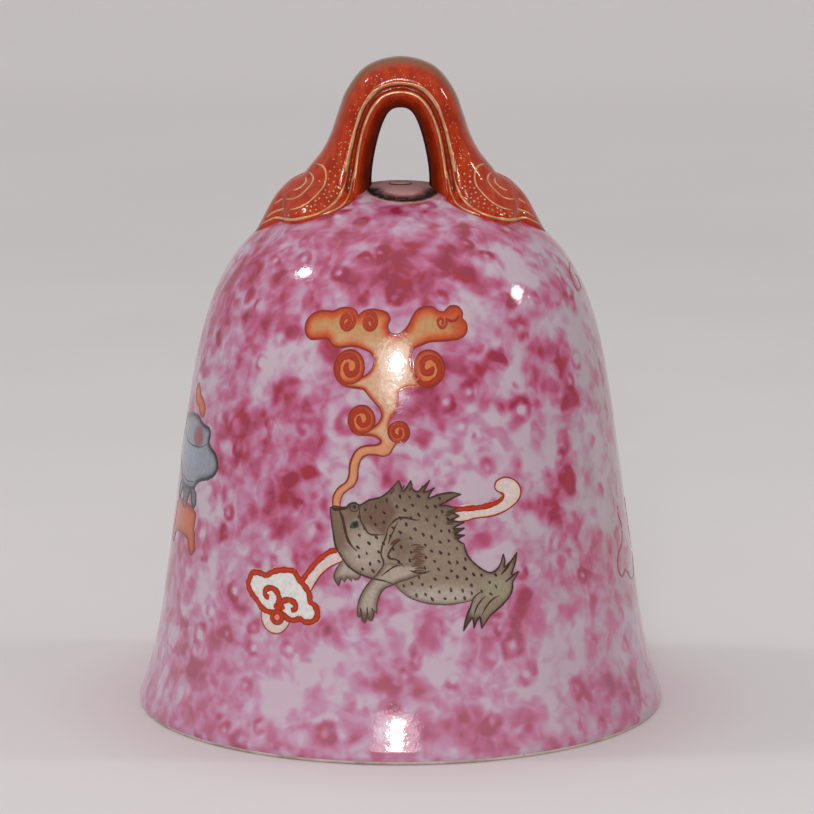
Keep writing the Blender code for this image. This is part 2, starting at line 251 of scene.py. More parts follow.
class Nodes:
    """A new Principled material, and short ways to add nodes to it; most methods return a socket."""

    def __init__(self, name, roughness, **settings):
        self.material = bpy.data.materials.new(name)
        self.material.use_nodes = True
        self.tree = self.material.node_tree
        self.shader = self.tree.nodes["Principled BSDF"]
        self.shader.inputs["Roughness"].default_value = roughness
        for socket, value in settings.items():
            self.shader.inputs[socket.replace("_", " ")].default_value = value
        self.place = self.vector("SCALE", self.add("TexCoord").outputs["Object"], scale=1 / MM)

    def add(self, kind):
        return self.tree.nodes.new("ShaderNode" + kind)

    def feed(self, socket, value):
        if isinstance(value, bpy.types.NodeSocket):
            self.tree.links.new(value, socket)
        elif isinstance(value, tuple) and len(value) == 3 and socket.type == "RGBA":
            socket.default_value = (*value, 1.0)
        else:
            socket.default_value = value

    def vector(self, operation, a, b=None, scale=None):
        node = self.add("VectorMath")
        node.operation = operation
        self.feed(node.inputs[0], a)
        if b is not None:
            self.feed(node.inputs[1], b)
        if scale is not None:
            self.feed(node.inputs["Scale"], scale)
        return node.outputs["Value" if operation in ("LENGTH", "DOT_PRODUCT") else "Vector"]

    def math(self, operation, a, b):
        node = self.add("Math")
        node.operation = operation
        self.feed(node.inputs[0], a)
        self.feed(node.inputs[1], b)
        return node.outputs[0]

    def split(self, kind, value):
        """The three parts of a vector ("XYZ") or a colour ("Color")."""
        node = self.add("Separate" + kind)
        self.feed(node.inputs[0], value)
        return node.outputs

    def noise(self, size, detail=2.0, roughness=0.5, place=None, distortion=0.0, colour=False):
        """Noise from 0 to 1 with lumps about size millimetres across."""
        node = self.add("TexNoise")
        self.feed(node.inputs["Vector"], place or self.place)
        node.inputs["Scale"].default_value = 1 / size
        node.inputs["Detail"].default_value = detail
        node.inputs["Roughness"].default_value = roughness
        node.inputs["Distortion"].default_value = distortion
        return node.outputs["Color" if colour else "Fac"]

    def cells(self, size, place=None, feature="F1"):
        """The Voronoi node whose cells are about size millimetres across."""
        node = self.add("TexVoronoi")
        node.feature = feature
        self.feed(node.inputs["Vector"], place or self.place)
        node.inputs["Scale"].default_value = 1 / size
        node.inputs["Randomness"].default_value = 1.0
        return node

    def ramp(self, value, low, high, bottom=0.0, top=1.0):
        """value's stretch from low to high, smoothly, as bottom to top."""
        node = self.add("MapRange")
        node.interpolation_type = "SMOOTHSTEP"
        self.feed(node.inputs["Value"], value)
        for socket, number in zip(("From Min", "From Max", "To Min", "To Max"), (low, high, bottom, top)):
            self.feed(node.inputs[socket], number)
        return node.outputs["Result"]

    def mix(self, share, a, b, blend="MIX"):
        """Colours a and b mixed by share."""
        node = self.add("Mix")
        node.data_type = "RGBA"
        node.blend_type = blend
        node.clamp_factor = True
        self.feed(node.inputs[0], share)
        self.feed(node.inputs[6], a)
        self.feed(node.inputs[7], b)
        return node.outputs[2]

    def attribute(self, name, output="Fac"):
        node = self.add("Attribute")
        node.attribute_name = name
        return node.outputs[output]

    def bump(self, height, distance):
        node = self.add("Bump")
        node.inputs["Distance"].default_value = distance * MM
        node.inputs["Strength"].default_value = 1.0
        self.feed(node.inputs["Height"], height)
        return node.outputs["Normal"]

    def finish(self, colour, normal=None, roughness=None):
        """The material, its shader fed with a colour and, if given, a normal and a roughness."""
        for name, value in (("Base Color", colour), ("Normal", normal), ("Roughness", roughness)):
            if value is not None:
                self.feed(self.shader.inputs[name], value)
        return self.material

    def finish_glazed(self, colour, strength=1.0):
        """The material with a fired glaze's fine orange peel and its slight changes of gloss."""
        pits = self.math("MULTIPLY", self.noise(0.35, 1.0), 0.12)
        height = self.math("ADD", self.noise(1.6, 2.0), pits)
        gloss = self.ramp(self.noise(9.0, 3.0), 0.3, 0.7, 0.07, 0.13)
        return self.finish(colour, self.bump(height, 0.045 * strength), gloss)


def rgb(red, green, blue):
    """A linear colour from its 0 to 255 screen values."""
    return tuple(
        v / 12.92 if v <= 0.04045 else ((v + 0.055) / 1.055) ** 2.4
        for v in (red / 255, green / 255, blue / 255)
    )


GLAZE_COAT = {"Coat_Weight": 0.2, "Coat_Roughness": 0.04}


def dabs_layer(nodes, size, place):
    """Soft round dabs and rings, at most one of each in a cell: the two, and a pale eye in each ring."""
    cell = nodes.cells(size, place)
    border = nodes.cells(size, place, "DISTANCE_TO_EDGE").outputs["Distance"]
    clear = nodes.ramp(border, 0.0, 0.22)
    away = nodes.vector("SUBTRACT", place, cell.outputs["Position"])
    distance = nodes.math("MULTIPLY", nodes.vector("LENGTH", away), 1 / size)
    chance = nodes.split("Color", cell.outputs["Color"])
    ringed = nodes.ramp(chance[1], 0.45, 0.7)
    dab = nodes.math("MULTIPLY", nodes.ramp(distance, 0.62, 0.0), nodes.ramp(chance[0], 0.25, 0.9))
    off = nodes.math("ABSOLUTE", nodes.math("SUBTRACT", distance, 0.30), 0.0)
    ring = nodes.math("MULTIPLY", nodes.ramp(off, 0.24, 0.0), ringed)
    lean = nodes.vector("SUBTRACT", cell.outputs["Color"], (0.5, 0.5, 0.5))
    side = nodes.math("MULTIPLY", nodes.vector("DOT_PRODUCT", away, lean), 1 / size)
    ring = nodes.math("MULTIPLY", ring, nodes.ramp(side, -0.08, 0.06, 0.25, 1.0))
    eye = nodes.math("MULTIPLY", nodes.ramp(distance, 0.2, 0.02), ringed)
    return [nodes.math("MULTIPLY", layer, clear) for layer in (dab, ring, eye)]


def bent_noise(nodes, size, middle, place):
    """Nearly 0 along winding lines about size apart, where the noise crosses middle, and more off them."""
    off = nodes.math("SUBTRACT", nodes.noise(size, 0.0, 0.5, place), middle)
    return nodes.math("POWER", off, 2.0)


def rose_amount(nodes):
    """How much rose lies at a place: drifts, clouds, dabs, rings and curls added up, 0 to about 1."""
    place = nodes.place
    for size, reach in ((6.0, 1.7), (2.0, 0.45)):
        sway = nodes.vector("SUBTRACT", nodes.noise(size, 1.0, colour=True), (0.5, 0.5, 0.5))
        place = nodes.vector("ADD", place, nodes.vector("SCALE", sway, scale=reach))
    large = dabs_layer(nodes, 5.6, place)
    middle = dabs_layer(nodes, 3.9, place)
    amount = nodes.math("MULTIPLY", nodes.attribute("rose"), 0.86)
    for share, layer in (
        (0.40, nodes.ramp(nodes.noise(6.5, 1.0, 0.5), 0.34, 0.66)),
        (0.44, nodes.ramp(nodes.noise(2.9, 1.6, 0.5, place), 0.32, 0.68)),
        (0.40, large[0]),
        (0.56, large[1]),
        (-0.46, large[2]),
        (0.16, middle[0]),
        (0.42, middle[1]),
        (-0.36, middle[2]),
        (0.10, nodes.ramp(bent_noise(nodes, 4.2, 0.5, place), 0.012, 0.0)),
        (-0.12, nodes.ramp(bent_noise(nodes, 3.6, 0.53, place), 0.010, 0.0)),
    ):
        amount = nodes.math("ADD", amount, nodes.math("MULTIPLY", layer, share))
    return nodes.math("SUBTRACT", amount, 0.68)


def rose_ground(name, matt=False):
    """The mottled ground: rose enamel dabbed over a lilac white, in soft blotches, rings and flecks, with
    painted shade under the handle's loop and grey painted shade over the right side.
    """
    nodes = Nodes(name, 0.8, Specular_IOR_Level=0.05) if matt else Nodes(name, 0.09, **GLAZE_COAT)
    amount = rose_amount(nodes)
    x, _, z = nodes.split("XYZ", nodes.place)
    colour = nodes.mix(nodes.ramp(amount, -0.22, 0.16), rgb(190, 170, 182), rgb(184, 136, 164))
    # grey painted shade over the right side, patchy, from x = 8 to 38 mm
    right_side_shade = nodes.ramp(nodes.noise(7.0, 2.0), 0.3, 0.6, 0.5, 1.0)
    right_side_shade = nodes.math("MULTIPLY", right_side_shade, nodes.ramp(x, 8, 38, 0.0, 0.6))
    colour = nodes.mix(right_side_shade, colour, rgb(150, 136, 132))
    colour = nodes.mix(nodes.ramp(amount, 0.02, 0.52), colour, rgb(178, 84, 120))
    colour = nodes.mix(nodes.ramp(amount, 0.38, 0.92), colour, rgb(146, 40, 66))
    warm = nodes.ramp(nodes.noise(3.4, 1.0), 0.50, 0.64)
    warm = nodes.math("MULTIPLY", warm, nodes.ramp(amount, 0.46, 0.86))
    colour = nodes.mix(nodes.math("MULTIPLY", warm, 0.8), colour, rgb(158, 40, 50))
    colour = nodes.mix(nodes.ramp(z, 34, 10, 0.0, 0.16), colour, rgb(216, 182, 208))
    # painted shade under the handle's loop: pinkish brown with the red handle's painted reflection, near
    # black in a crescent at its front
    painted_shade = nodes.attribute("painted_shade")
    colour = nodes.mix(nodes.ramp(painted_shade, 0.0, 0.4, 0.0, 0.75), colour, rgb(196, 146, 138))
    painted_shade = nodes.math("MULTIPLY", painted_shade, nodes.ramp(nodes.noise(0.9, 2.0), 0.2, 0.55, 0.8, 1.0))
    colour = nodes.mix(nodes.ramp(painted_shade, 0.34, 0.95), colour, rgb(34, 24, 24))
    return nodes.finish(colour) if matt else nodes.finish_glazed(colour)


def pin_end_shade():
    """Painted shade over the end of the hanger pin, the pinkish brown of the painted shade on the crown round
    it: matt and lumpy.
    """
    nodes = Nodes("pin_end_shade", 0.8, Specular_IOR_Level=0.05)
    lumps = nodes.noise(0.7, 3.0, 0.6)
    colour = nodes.mix(nodes.ramp(lumps, 0.4, 0.75), rgb(190, 142, 136), rgb(150, 104, 100))
    return nodes.finish(colour, nodes.bump(lumps, 0.03))


def white_glaze():
    """The plain glaze inside the bell, faintly blue, with iron specks and a thicker pool of glaze."""
    nodes = Nodes("white_glaze", 0.1, **GLAZE_COAT)
    colour = nodes.mix(nodes.ramp(nodes.noise(14.0, 2.0), 0.35, 0.7), rgb(226, 228, 222), rgb(208, 216, 212))
    speck = nodes.ramp(nodes.noise(0.9, 0.0), 0.74, 0.8)
    return nodes.finish_glazed(nodes.mix(speck, colour, rgb(120, 96, 78)))


def bare_porcelain():
    """The wiped, unglazed lip: matt, buff white and a little dirty."""
    nodes = Nodes("bare_porcelain", 0.6)
    grain = nodes.noise(0.6, 3.0)
    colour = nodes.mix(nodes.ramp(nodes.noise(5.0, 3.0), 0.4, 0.7), rgb(216, 206, 194), rgb(186, 168, 152))
    colour = nodes.mix(nodes.ramp(grain, 0.62, 0.74), colour, rgb(136, 114, 98))
    return nodes.finish(colour, nodes.bump(grain, 0.04))


def painted_enamel():
    """Overglaze colours laid on by brush: the point colours, a little uneven in tone."""
    nodes = Nodes("painted_enamel", 0.12, **GLAZE_COAT)
    tint = nodes.attribute("tint", "Color")
    shade = nodes.ramp(nodes.noise(0.7, 3.0, 0.6), 0.3, 0.75, 0.30, 0.0)
    darker = nodes.mix(1.0, tint, rgb(176, 158, 150), "MULTIPLY")
    return nodes.finish_glazed(nodes.mix(shade, tint, darker))


def iron_red(name, matt=False):
    """The handle's iron red: brushed thin over white, so it streaks, darker where it pools, rubbed brown on
    top, and darkened with painted shade in its opening and groove.
    """
    nodes = Nodes(name, 0.8 if matt else 0.1, Specular_IOR_Level=0.05 if matt else 0.3)
    streaks = nodes.noise(1.3, 3.0, 0.6, nodes.vector("MULTIPLY", nodes.place, (1.0, 1.0, 0.35)))
    colour = nodes.mix(nodes.ramp(streaks, 0.3, 0.72), rgb(156, 34, 2), rgb(182, 58, 6))
    colour = nodes.mix(nodes.ramp(nodes.noise(4.5, 2.0), 0.5, 0.85), colour, rgb(134, 26, 6))
    colour = nodes.mix(nodes.attribute("rubbed"), colour, rgb(122, 76, 34))
    # painted shade: near black along the inside of the opening, dark red in the groove
    colour = nodes.mix(nodes.attribute("painted_shade"), colour, rgb(22, 12, 10))
    return nodes.finish(colour) if matt else nodes.finish_glazed(colour, 0.8)


def gilding():
    """Fired gold, worn thin in places so that the red shows through."""
    nodes = Nodes("gilding", 0.32, Metallic=0.35)
    worn = nodes.ramp(nodes.noise(0.9, 3.0, 0.65), 0.56, 0.74)
    colour = nodes.mix(nodes.ramp(nodes.noise(2.0, 2.0), 0.35, 0.7), rgb(214, 166, 120), rgb(190, 136, 92))
    colour = nodes.mix(nodes.math("MULTIPLY", worn, 0.7), colour, rgb(140, 50, 20))
    brushed = nodes.bump(nodes.noise(0.3, 2.0), 0.02)
    return nodes.finish(colour, brushed, nodes.ramp(worn, 0.0, 1.0, 0.26, 0.42))


def dark_iron():
    """Old iron wire: dull grey brown with rust blooms and drawn scratches."""
    nodes = Nodes("dark_iron", 0.5, Metallic=0.8)
    rust = nodes.ramp(nodes.noise(1.4, 4.0, 0.65), 0.48, 0.66)
    colour = nodes.mix(rust, rgb(92, 86, 82), rgb(104, 58, 34))
    scratches = nodes.bump(nodes.noise(0.35, 3.0), 0.05)
    return nodes.finish(colour, scratches, nodes.ramp(rust, 0.0, 1.0, 0.38, 0.75))


def old_brass():
    """Brass gone brown in its hollows."""
    nodes = Nodes("old_brass", 0.35, Metallic=1.0)
    tarnish = nodes.ramp(nodes.noise(1.1, 4.0, 0.6), 0.42, 0.68)
    colour = nodes.mix(tarnish, rgb(196, 160, 92), rgb(116, 84, 46))
    turned_marks = nodes.bump(nodes.noise(0.25, 2.0), 0.02)
    return nodes.finish(colour, turned_marks, nodes.ramp(tarnish, 0.0, 1.0, 0.28, 0.5))


def rosewood():
    """Turned rosewood, its growth rings and pores running along the bob's axis."""
    nodes = Nodes("rosewood", 0.38, Coat_Weight=0.15, Coat_Roughness=0.2)
    stretched = nodes.vector("MULTIPLY", nodes.place, (1.0, 1.0, 0.12))
    figure = nodes.noise(2.6, 3.0, 0.55, stretched, distortion=1.2)
    pores = nodes.noise(0.28, 2.0, 0.5, nodes.vector("MULTIPLY", nodes.place, (1.0, 1.0, 0.08)))
    colour = nodes.mix(nodes.ramp(figure, 0.38, 0.6), rgb(64, 26, 18), rgb(124, 58, 34))
    colour = nodes.mix(nodes.ramp(pores, 0.6, 0.7), colour, rgb(34, 14, 10))
    return nodes.finish(colour, nodes.bump(pores, 0.03), nodes.ramp(pores, 0.5, 0.7, 0.32, 0.55))


def brown_leather():
    """Cut leather: fine pebbled grain, darker with age in patches."""
    nodes = Nodes("brown_leather", 0.75)
    pebble = nodes.cells(0.55).outputs["Distance"]
    colour = nodes.mix(nodes.ramp(nodes.noise(1.5, 3.0), 0.35, 0.7), rgb(120, 84, 56), rgb(78, 50, 34))
    return nodes.finish(colour, nodes.bump(pebble, 0.05))


def backdrop_paper():
    """The pale paper that the bell stands on: slightly uneven, with a painted pink reflection of the bell
    round its foot, and painted light that makes it paler far behind.
    """
    nodes = Nodes("backdrop_paper", 0.9, Specular_IOR_Level=0.15)
    y = nodes.split("XYZ", nodes.place)[1]
    away = nodes.vector("LENGTH", nodes.place)
    colour = nodes.mix(nodes.ramp(nodes.noise(90.0, 2.0), 0.3, 0.7), rgb(219, 215, 216), rgb(217, 213, 213))
    # painted light: paler far behind, from 400 to 1000 mm, where the lamps reach less
    colour = nodes.mix(nodes.ramp(y, 400, 1000), colour, rgb(233, 229, 229))
    # painted reflection: pinker within about 60 mm of the bell, the bell's rose cast onto the paper
    return nodes.finish(nodes.mix(nodes.ramp(away, 62, 44, 0.0, 0.3), colour, rgb(212, 184, 195)))


# ---------------------------------------------------------------- the shell


# Where the ground is deep rose and where it is nearly white: (across, height, width, height of drift).
DEEP_DRIFTS = [
    (-34, 73, 9, 4), (-31, 52, 5, 9), (-17, 53, 6, 6), (-24, 45, 6, 5), (-26, 66, 6, 3), (-42, 66, 6, 6),
    (0, 76, 20, 4), (6, 57, 5, 4), (32, 57, 6, 6), (27, 38, 5, 4), (33, 26, 6, 6), (20, 21, 6, 5),
    (-35, 12, 5, 5), (-33, 4, 9, 3), (36, 7, 6, 4), (-20, 40, 6, 6), (11, 60, 5, 4), (-4, 14, 5, 4),
    (8, 5, 9, 3), (-46, 22, 5, 7),
]
PALE_DRIFTS = [
    (-22, 62, 6, 4), (-16, 12, 8, 7), (28, 73, 6, 5), (8, 45, 9, 3), (17, 49, 6, 5), (8, 14, 4, 4),
    (24, 47, 7, 4), (26, 14, 7, 5), (-6, 38, 5, 6), (-38, 38, 6, 4), (43, 60, 7, 9), (45, 40, 8, 8),
]


def rose_depth(across, height):
    """How heavily the ground is painted at a place on the shell, from 0 to 1: drifts of deep rose."""
    random = np.random.default_rng(SEED)
    deep, pale = list(DEEP_DRIFTS), list(PALE_DRIFTS)
    for _ in range(30):
        for drifts in (deep, pale):
            drifts.append((random.uniform(58, 168), random.uniform(3, 80), *random.uniform(4, 8, 2)))
    # deeper rose from 62 to 78 mm up: partly the crown's deeper paint, partly painted shade for the darker
    # top
    total = 0.42 + 0.12 * step(height, 62, 78)
    for sign, drifts in ((0.48, deep), (-0.36, pale)):
        cover = np.zeros_like(total)
        for a, h, wide, tall in drifts:
            round_trip = (across - a + math.pi * WRAP_R) % (math.tau * WRAP_R) - math.pi * WRAP_R
            near = np.exp(-((round_trip / wide) ** 2) - ((height - h) / tall) ** 2)
            cover = np.maximum(cover, near)
        total += sign * cover
    return np.clip(total, 0, 1)


# The edge of the painted shade on the crown, as (x, y) seen from above.
CRESCENT = [
    (-5.0, -0.2), (-4.9, -4.4), (-3.6, -8.2), (-0.6, -10.4), (2.8, -9.9), (5.1, -7.0), (5.8, -2.6),
    (5.4, 2.0), (0.3, 4.2), (-4.9, 2.2),
]


def crown_painted_shade(x, y):
    """Painted shade on the crown under the loop: a dark crescent in front, a soft painted shadow round it,
    and a brown painted shade with the red handle's painted reflection behind it.
    """
    outline = smooth_through(CRESCENT, 6, closed=True)
    places = np.column_stack([x, y])
    painted_shade = np.zeros(len(x))
    near = np.hypot(x, y) < 16
    depth = edge_distance(places[near], outline) * np.where(inside_polygon(places[near], outline), 1, -1)
    front = step(y[near], 0.0, -5.0)
    edge = np.exp(-(((depth + 0.1) / 0.85) ** 2)) * (0.55 + 0.45 * front)
    band = 0.88 * step(depth, -0.6, 0.2) * step(depth, 4.2, 0.5) * front
    halo = 0.26 * step(depth, -2.4, -0.2) * front
    painted_shade[near] = np.maximum.reduce([edge, band, halo, 0.36 * step(depth, -0.3, 0.8)])
    return painted_shade


PAINTED_ZONE, WHITE_ZONE, BARE_ZONE = 0, 1, 2


def make_shell(materials):
    """The thrown shell with its painted outside, white inside and bare lip, and the hole in its crown."""
    fine, coarse = evenly(OUTER_CURVE, 0.45), evenly(OUTER_CURVE, 0.85)
    crown_part = fine[(fine[:, 0] > SINK_R + 0.4) & (fine[:, 0] < 14)]
    outer = np.vstack([crown_part, coarse[coarse[:, 0] > 14.3]])
    coarse[:, 1] = np.maximum(coarse[:, 1], 0.05)
    inner = evenly(INNER_CURVE, 1.5)
    inner = inner[(inner[:, 0] > HOLE_R + 0.6) & (inner[:, 1] > 2.2)][::-1]
    crown = float(shell_top(SINK_R))
    apex = CROWN_Z - CROWN_WALL
    lip = smooth_through([(42.9, 0.6), (42.4, 0.04), (41.7, 0.0), (41.0, 0.04), (40.6, 0.5)], 4)
    lip[:, 1] = np.maximum(lip[:, 1], 0.0)
    bore = [
        (HOLE_R + 0.4, apex + 0.02), (HOLE_R, apex + 0.4), (HOLE_R, CROWN_Z - SINK_DEPTH),
        (SINK_R - 0.2, crown - 0.25), (SINK_R + 0.1, crown),
    ]
    profile = np.vstack([outer, lip, inner, bore])
    points, faces, rows = lathe(profile, SHELL_SEGMENTS)
    radius = np.hypot(points[:, 0], points[:, 1])
    angle = np.arctan2(points[:, 0], -points[:, 1])
    wave = ripple(angle, points[:, 2])
    points[:, :2] *= (1 + wave / np.maximum(radius, 1.0))[:, None]
    painted_rows = [*range(len(outer)), *range(len(profile) - 3, len(profile))]
    zone_of_row = np.where(np.arange(len(profile)) < len(outer) + len(lip), BARE_ZONE, WHITE_ZONE)
    zone_of_row[painted_rows] = PAINTED_ZONE
    zone = zone_of_row[rows]
    shell = make_object("porcelain_shell", points * MM, faces, materials, zone, smooth_angle=50)
    paint_values(shell, "rose", rose_depth(angle * WRAP_R, points[:, 2]))
    # painted shade on the crown under the loop; its darkest faces take the matt rose
    painted_shade = crown_painted_shade(points[:, 0], points[:, 1]) * (points[:, 2] > 78)
    paint_values(shell, "painted_shade", np.clip(painted_shade, 0, 1))
    matt_faces(shell, painted_shade, 0.3)
    return shell


def matt_faces(obj, painted_shade, least):
    """Gives the piece's last material to the faces whose value is above least at every corner: painted shade
    on the shell and handle, height on the pin.
    """
    for face in obj.data.polygons:
        if all(painted_shade[v] > least for v in face.vertices):
            face.material_index = len(obj.data.materials) - 1


def paint_values(obj, name, values):
    """A number at each of the object's points, for its material."""
    layer = obj.data.attributes.new(name, "FLOAT", "POINT")
    layer.data.foreach_set("value", np.asarray(values, np.float32))


# ---------------------------------------------------------------- the handle

# The right half: outer edge (x, z), inner edge (x, z), half depth, and how far in from the outer
# edge the two moulded lines run, as shares of the leg's width.
ARCH_STATIONS = [
    (17.2, 83.0, 4.3, 80.3, 7.6, 0.66, 0.76), (15.6, 87.3, 4.6, 84.5, 7.7, 0.60, 0.72),
    (12.8, 91.0, 4.6, 87.6, 7.0, 0.52, 0.68), (11.3, 93.9, 4.1, 91.0, 6.5, 0.48, 0.63),
    (10.2, 97.1, 3.3, 94.2, 6.2, 0.46, 0.61), (8.7, 101.0, 2.3, 96.7, 6.0, 0.455, 0.62),
    (5.5, 104.85, 1.25, 97.85, 5.8, 0.455, 0.62), (0.0, 106.4, 0.0, 98.1, 5.7, 0.455, 0.62),
]
# A quarter of the leg's section: place across it (0 outer edge, 1 the first moulded line, 2 the
# second, 3 the inner edge) and depth, where 1 is the half depth.
SECTION = [
    (0.0, 0.0), (0.02, 0.22), (0.12, 0.50), (0.36, 0.80), (0.66, 0.95), (0.92, 1.0), (1.0, 0.99),
    (1.12, 0.93), (1.28, 0.86), (1.60, 0.85), (1.84, 0.90), (2.0, 0.94), (2.2, 0.92), (2.55, 0.74),
    (2.82, 0.46), (2.96, 0.2), (3.0, 0.0),
]
LEDGE_OUTLINE = [
    (6.4, 0.0), (6.9, 5.3), (7.5, 8.8), (8.8, 10.4), (10.6, 11.2), (12.6, 11.5), (14.4, 11.4), (15.8, 10.9),
    (17.4, 9.6), (18.6, 7.5), (19.4, 5.2), (20.5, 4.8), (21.5, 3.8), (22.7, 2.2), (23.7, 0.0),
]
DOME_OUTLINE = [
    (8.0, 0.0), (8.6, 4.0), (9.3, 6.6), (10.3, 8.8), (11.8, 10.4), (13.4, 11.1), (14.6, 11.2), (15.9, 10.7),
    (17.4, 9.4), (18.5, 7.2), (19.4, 5.0), (20.4, 4.6), (21.4, 3.7), (22.6, 2.2), (23.6, 0.0),
]
LEAF_SPINE = (10.5, 20.0)
DOME_CREST, DOME_EDGE = 4.9, 1.2
LEDGE_CREST, LEDGE_EDGE = 1.4, 0.55
VOXEL = 0.23


def arch_rows():
    """The arch's stations from the left foot over the top to the right foot, smoothly filled in."""
    half = np.array(ARCH_STATIONS)
    other = half[-2::-1] * (-1, 1, -1, 1, 1, 1, 1)
    return smooth_through(np.vstack([half, other]), 10)[::-1]


def section_loop():
    """The whole section: places across it and depths, from the outer edge round by the front."""
    quarter = smooth_through(SECTION, 3)
    return np.vstack([quarter * (1, -1), quarter[-2:0:-1]])


def arch_mesh():
    """The arch as points and faces, and the place across the section of each face."""
    loop = section_loop()
    rings = []
    for row in arch_rows():
        outer, inner = row[0:2], row[2:4]
        share = np.interp(loop[:, 0], (0, 1, 2, 3), (0, row[5], row[6], 1))[:, None]
        place = outer + (inner - outer) * share
        rings.append(np.column_stack([place[:, 0], loop[:, 1] * row[4], place[:, 1]]))
    across = np.tile((loop[:, 0] + np.roll(loop[:, 0], -1)) / 2, len(rings) - 1)
    return np.vstack(rings), tube_faces(len(rings), len(loop)), across


def cushion_mesh(half_outline, crest, edge, side):
    """A leaf-shaped cushion on the crown: its top rises from edge at its outline to crest."""
    half = smooth_through(half_outline, 5)
    outline = np.vstack([half, half[-2:0:-1] * (1, -1)])
    spine = np.column_stack([np.clip(outline[:, 0], *LEAF_SPINE), np.zeros(len(outline))])
    tip = half_outline[-1][0]
    spread = np.r_[np.linspace(0.02, 1, 14), np.linspace(1, 0.02, 14)]
    rise = (1 - np.linspace(1, 0.02, 14) ** 2.0) ** 0.85
    lift = np.r_[np.full(14, -1.2), (crest - edge) * rise + edge]
    rings = []
    for share, height in zip(spread, lift):
        plan = spine + (outline - spine) * share
        ground = shell_top(np.hypot(plan[:, 0], plan[:, 1]))
        fade = 1 - np.clip((plan[:, 0] - 17) / (tip + 0.3 - 17), 0, 1) ** 1.8
        top = height * fade if height > 0 else height
        rings.append(np.column_stack([plan[:, 0] * side, plan[:, 1], ground + top]))
    return np.vstack(rings), tube_faces(len(rings), len(outline))


def fused(obj, voxel, rounds):
    """The object remade as one skin of small quads, smoothed a little."""
    remesh = obj.modifiers.new("remesh", "REMESH")
    remesh.mode = "VOXEL"
    remesh.voxel_size = voxel * MM
    soften = obj.modifiers.new("soften", "SMOOTH")
    soften.factor = 0.5
    soften.iterations = rounds
    graph = bpy.context.evaluated_depsgraph_get()
    mesh = bpy.data.meshes.new_from_object(obj.evaluated_get(graph))
    old = obj.data
    obj.modifiers.clear()
    obj.data = mesh
    bpy.data.meshes.remove(old)


def vertices(obj):
    """The object's points, in millimetres."""
    co = np.empty(len(obj.data.vertices) * 3)
    obj.data.vertices.foreach_get("co", co)
    return co.reshape(-1, 3) / MM


def step(value, low, high):
    """0 below low, 1 above high, and smooth between; high may be the smaller one."""
    share = np.clip((np.asarray(value) - low) / (high - low), 0, 1)
    return share * share * (3 - 2 * share)


def make_handle(red, shade_red):
    """The loop handle: its arch and both terminals as one modelled piece, with painted shade in its opening
    and groove, and its rubbed top.
    """
    arch_points, arch_faces, across = arch_mesh()
    terminals = []
    for side in (1, -1):
        terminals.append(cushion_mesh(LEDGE_OUTLINE, LEDGE_CREST, LEDGE_EDGE, side))
        terminals.append(cushion_mesh(DOME_OUTLINE, DOME_CREST, DOME_EDGE, side))
    points, faces = joined((arch_points, arch_faces), *terminals)
    handle = make_object("red_handle", points * MM, faces, smooth_angle=0)
    fused(handle, VOXEL, 6)
    p = vertices(handle)
    ground = shell_top(np.hypot(p[:, 0], p[:, 1])) - 0.12
    p[:, 2] = np.maximum(p[:, 2], ground)
    handle.data.vertices.foreach_set("co", (p * MM).ravel())
    handle.data.materials.clear()
    for item in (red, shade_red):
        handle.data.materials.append(item)
    handle.data.shade_smooth()

    tree = BVHTree.FromPolygons([Vector(v) for v in arch_points], arch_faces)
    place = np.zeros(len(p))
    off = np.zeros(len(p))
    for k, v in enumerate(p):
        _, _, index, distance = tree.find_nearest(Vector(v))
        place[k] = across[index] if index < len(across) else 3.0
        off[k] = distance
    on_arch = step(off, 1.0, 0.3)
    groove = step(place, 1.05, 1.25) * step(place, 1.95, 1.7)
    rows = arch_rows()
    to_inner = line_distance(rows[:, 2:4], p[:, [0, 2]])
    to_outer = line_distance(rows[:, 0:2], p[:, [0, 2]])
    # painted shade: near black at the opening's edge and fading over 3 mm, lighter in the groove between the
    # moulded lines
    shade = np.maximum(step(to_inner, 0.75, 0.2), 0.55 * step(to_inner, 3.0, 0.5))
    painted_shade = np.maximum(shade, 0.32 * groove * on_arch)
    rubbed = step(np.abs(p[:, 1]), 4.6, 2.6) * step(to_outer, 2.0, 1.0) * step(p[:, 2], 90, 102)
    paint_values(handle, "painted_shade", painted_shade)
    paint_values(handle, "rubbed", 0.9 * rubbed)
    matt_faces(handle, shade, 0.25)
    return handle


# The gilt lines of one terminal, as (x, height) seen from in front and 9 degrees above.
TERMINAL_BORDER = [
    (7.9, 91.0), (8.3, 89.0), (8.6, 86.7), (9.1, 84.9), (9.9, 83.3), (10.9, 82.1), (12.3, 81.1),
    (14.2, 80.3), (16.3, 79.8), (17.6, 79.7), (18.9, 79.9), (20.0, 80.1), (21.4, 79.6), (22.6, 79.0),
]
LEDGE_LINE = [(7.4, 87.6), (7.9, 85.4), (8.3, 83.6), (8.9, 82.4), (9.8, 81.6), (11.0, 81.0), (12.4, 80.5)]
TERMINAL_SCROLLS = [
    [
        (13.6, 88.9), (12.4, 88.4), (11.9, 87.0), (12.2, 85.3), (13.0, 84.2), (14.6, 82.6), (16.4, 81.6),
        (17.8, 81.3),
    ],
    [(18.8, 81.5), (20.4, 81.0), (21.6, 80.2)],
    [
        (14.7, 87.5), (14.1, 86.9), (14.0, 86.2), (14.5, 85.3), (15.3, 84.4), (16.3, 83.5), (17.3, 83.1),
        (18.4, 83.1),
    ],
    [(19.0, 83.2), (20.3, 82.4)],
    [(15.3, 86.7), (15.1, 86.1), (15.6, 85.4), (16.4, 84.8), (17.2, 84.5)],
]
SIGHT = Vector((0, math.cos(math.radians(9)), -math.sin(math.radians(9))))


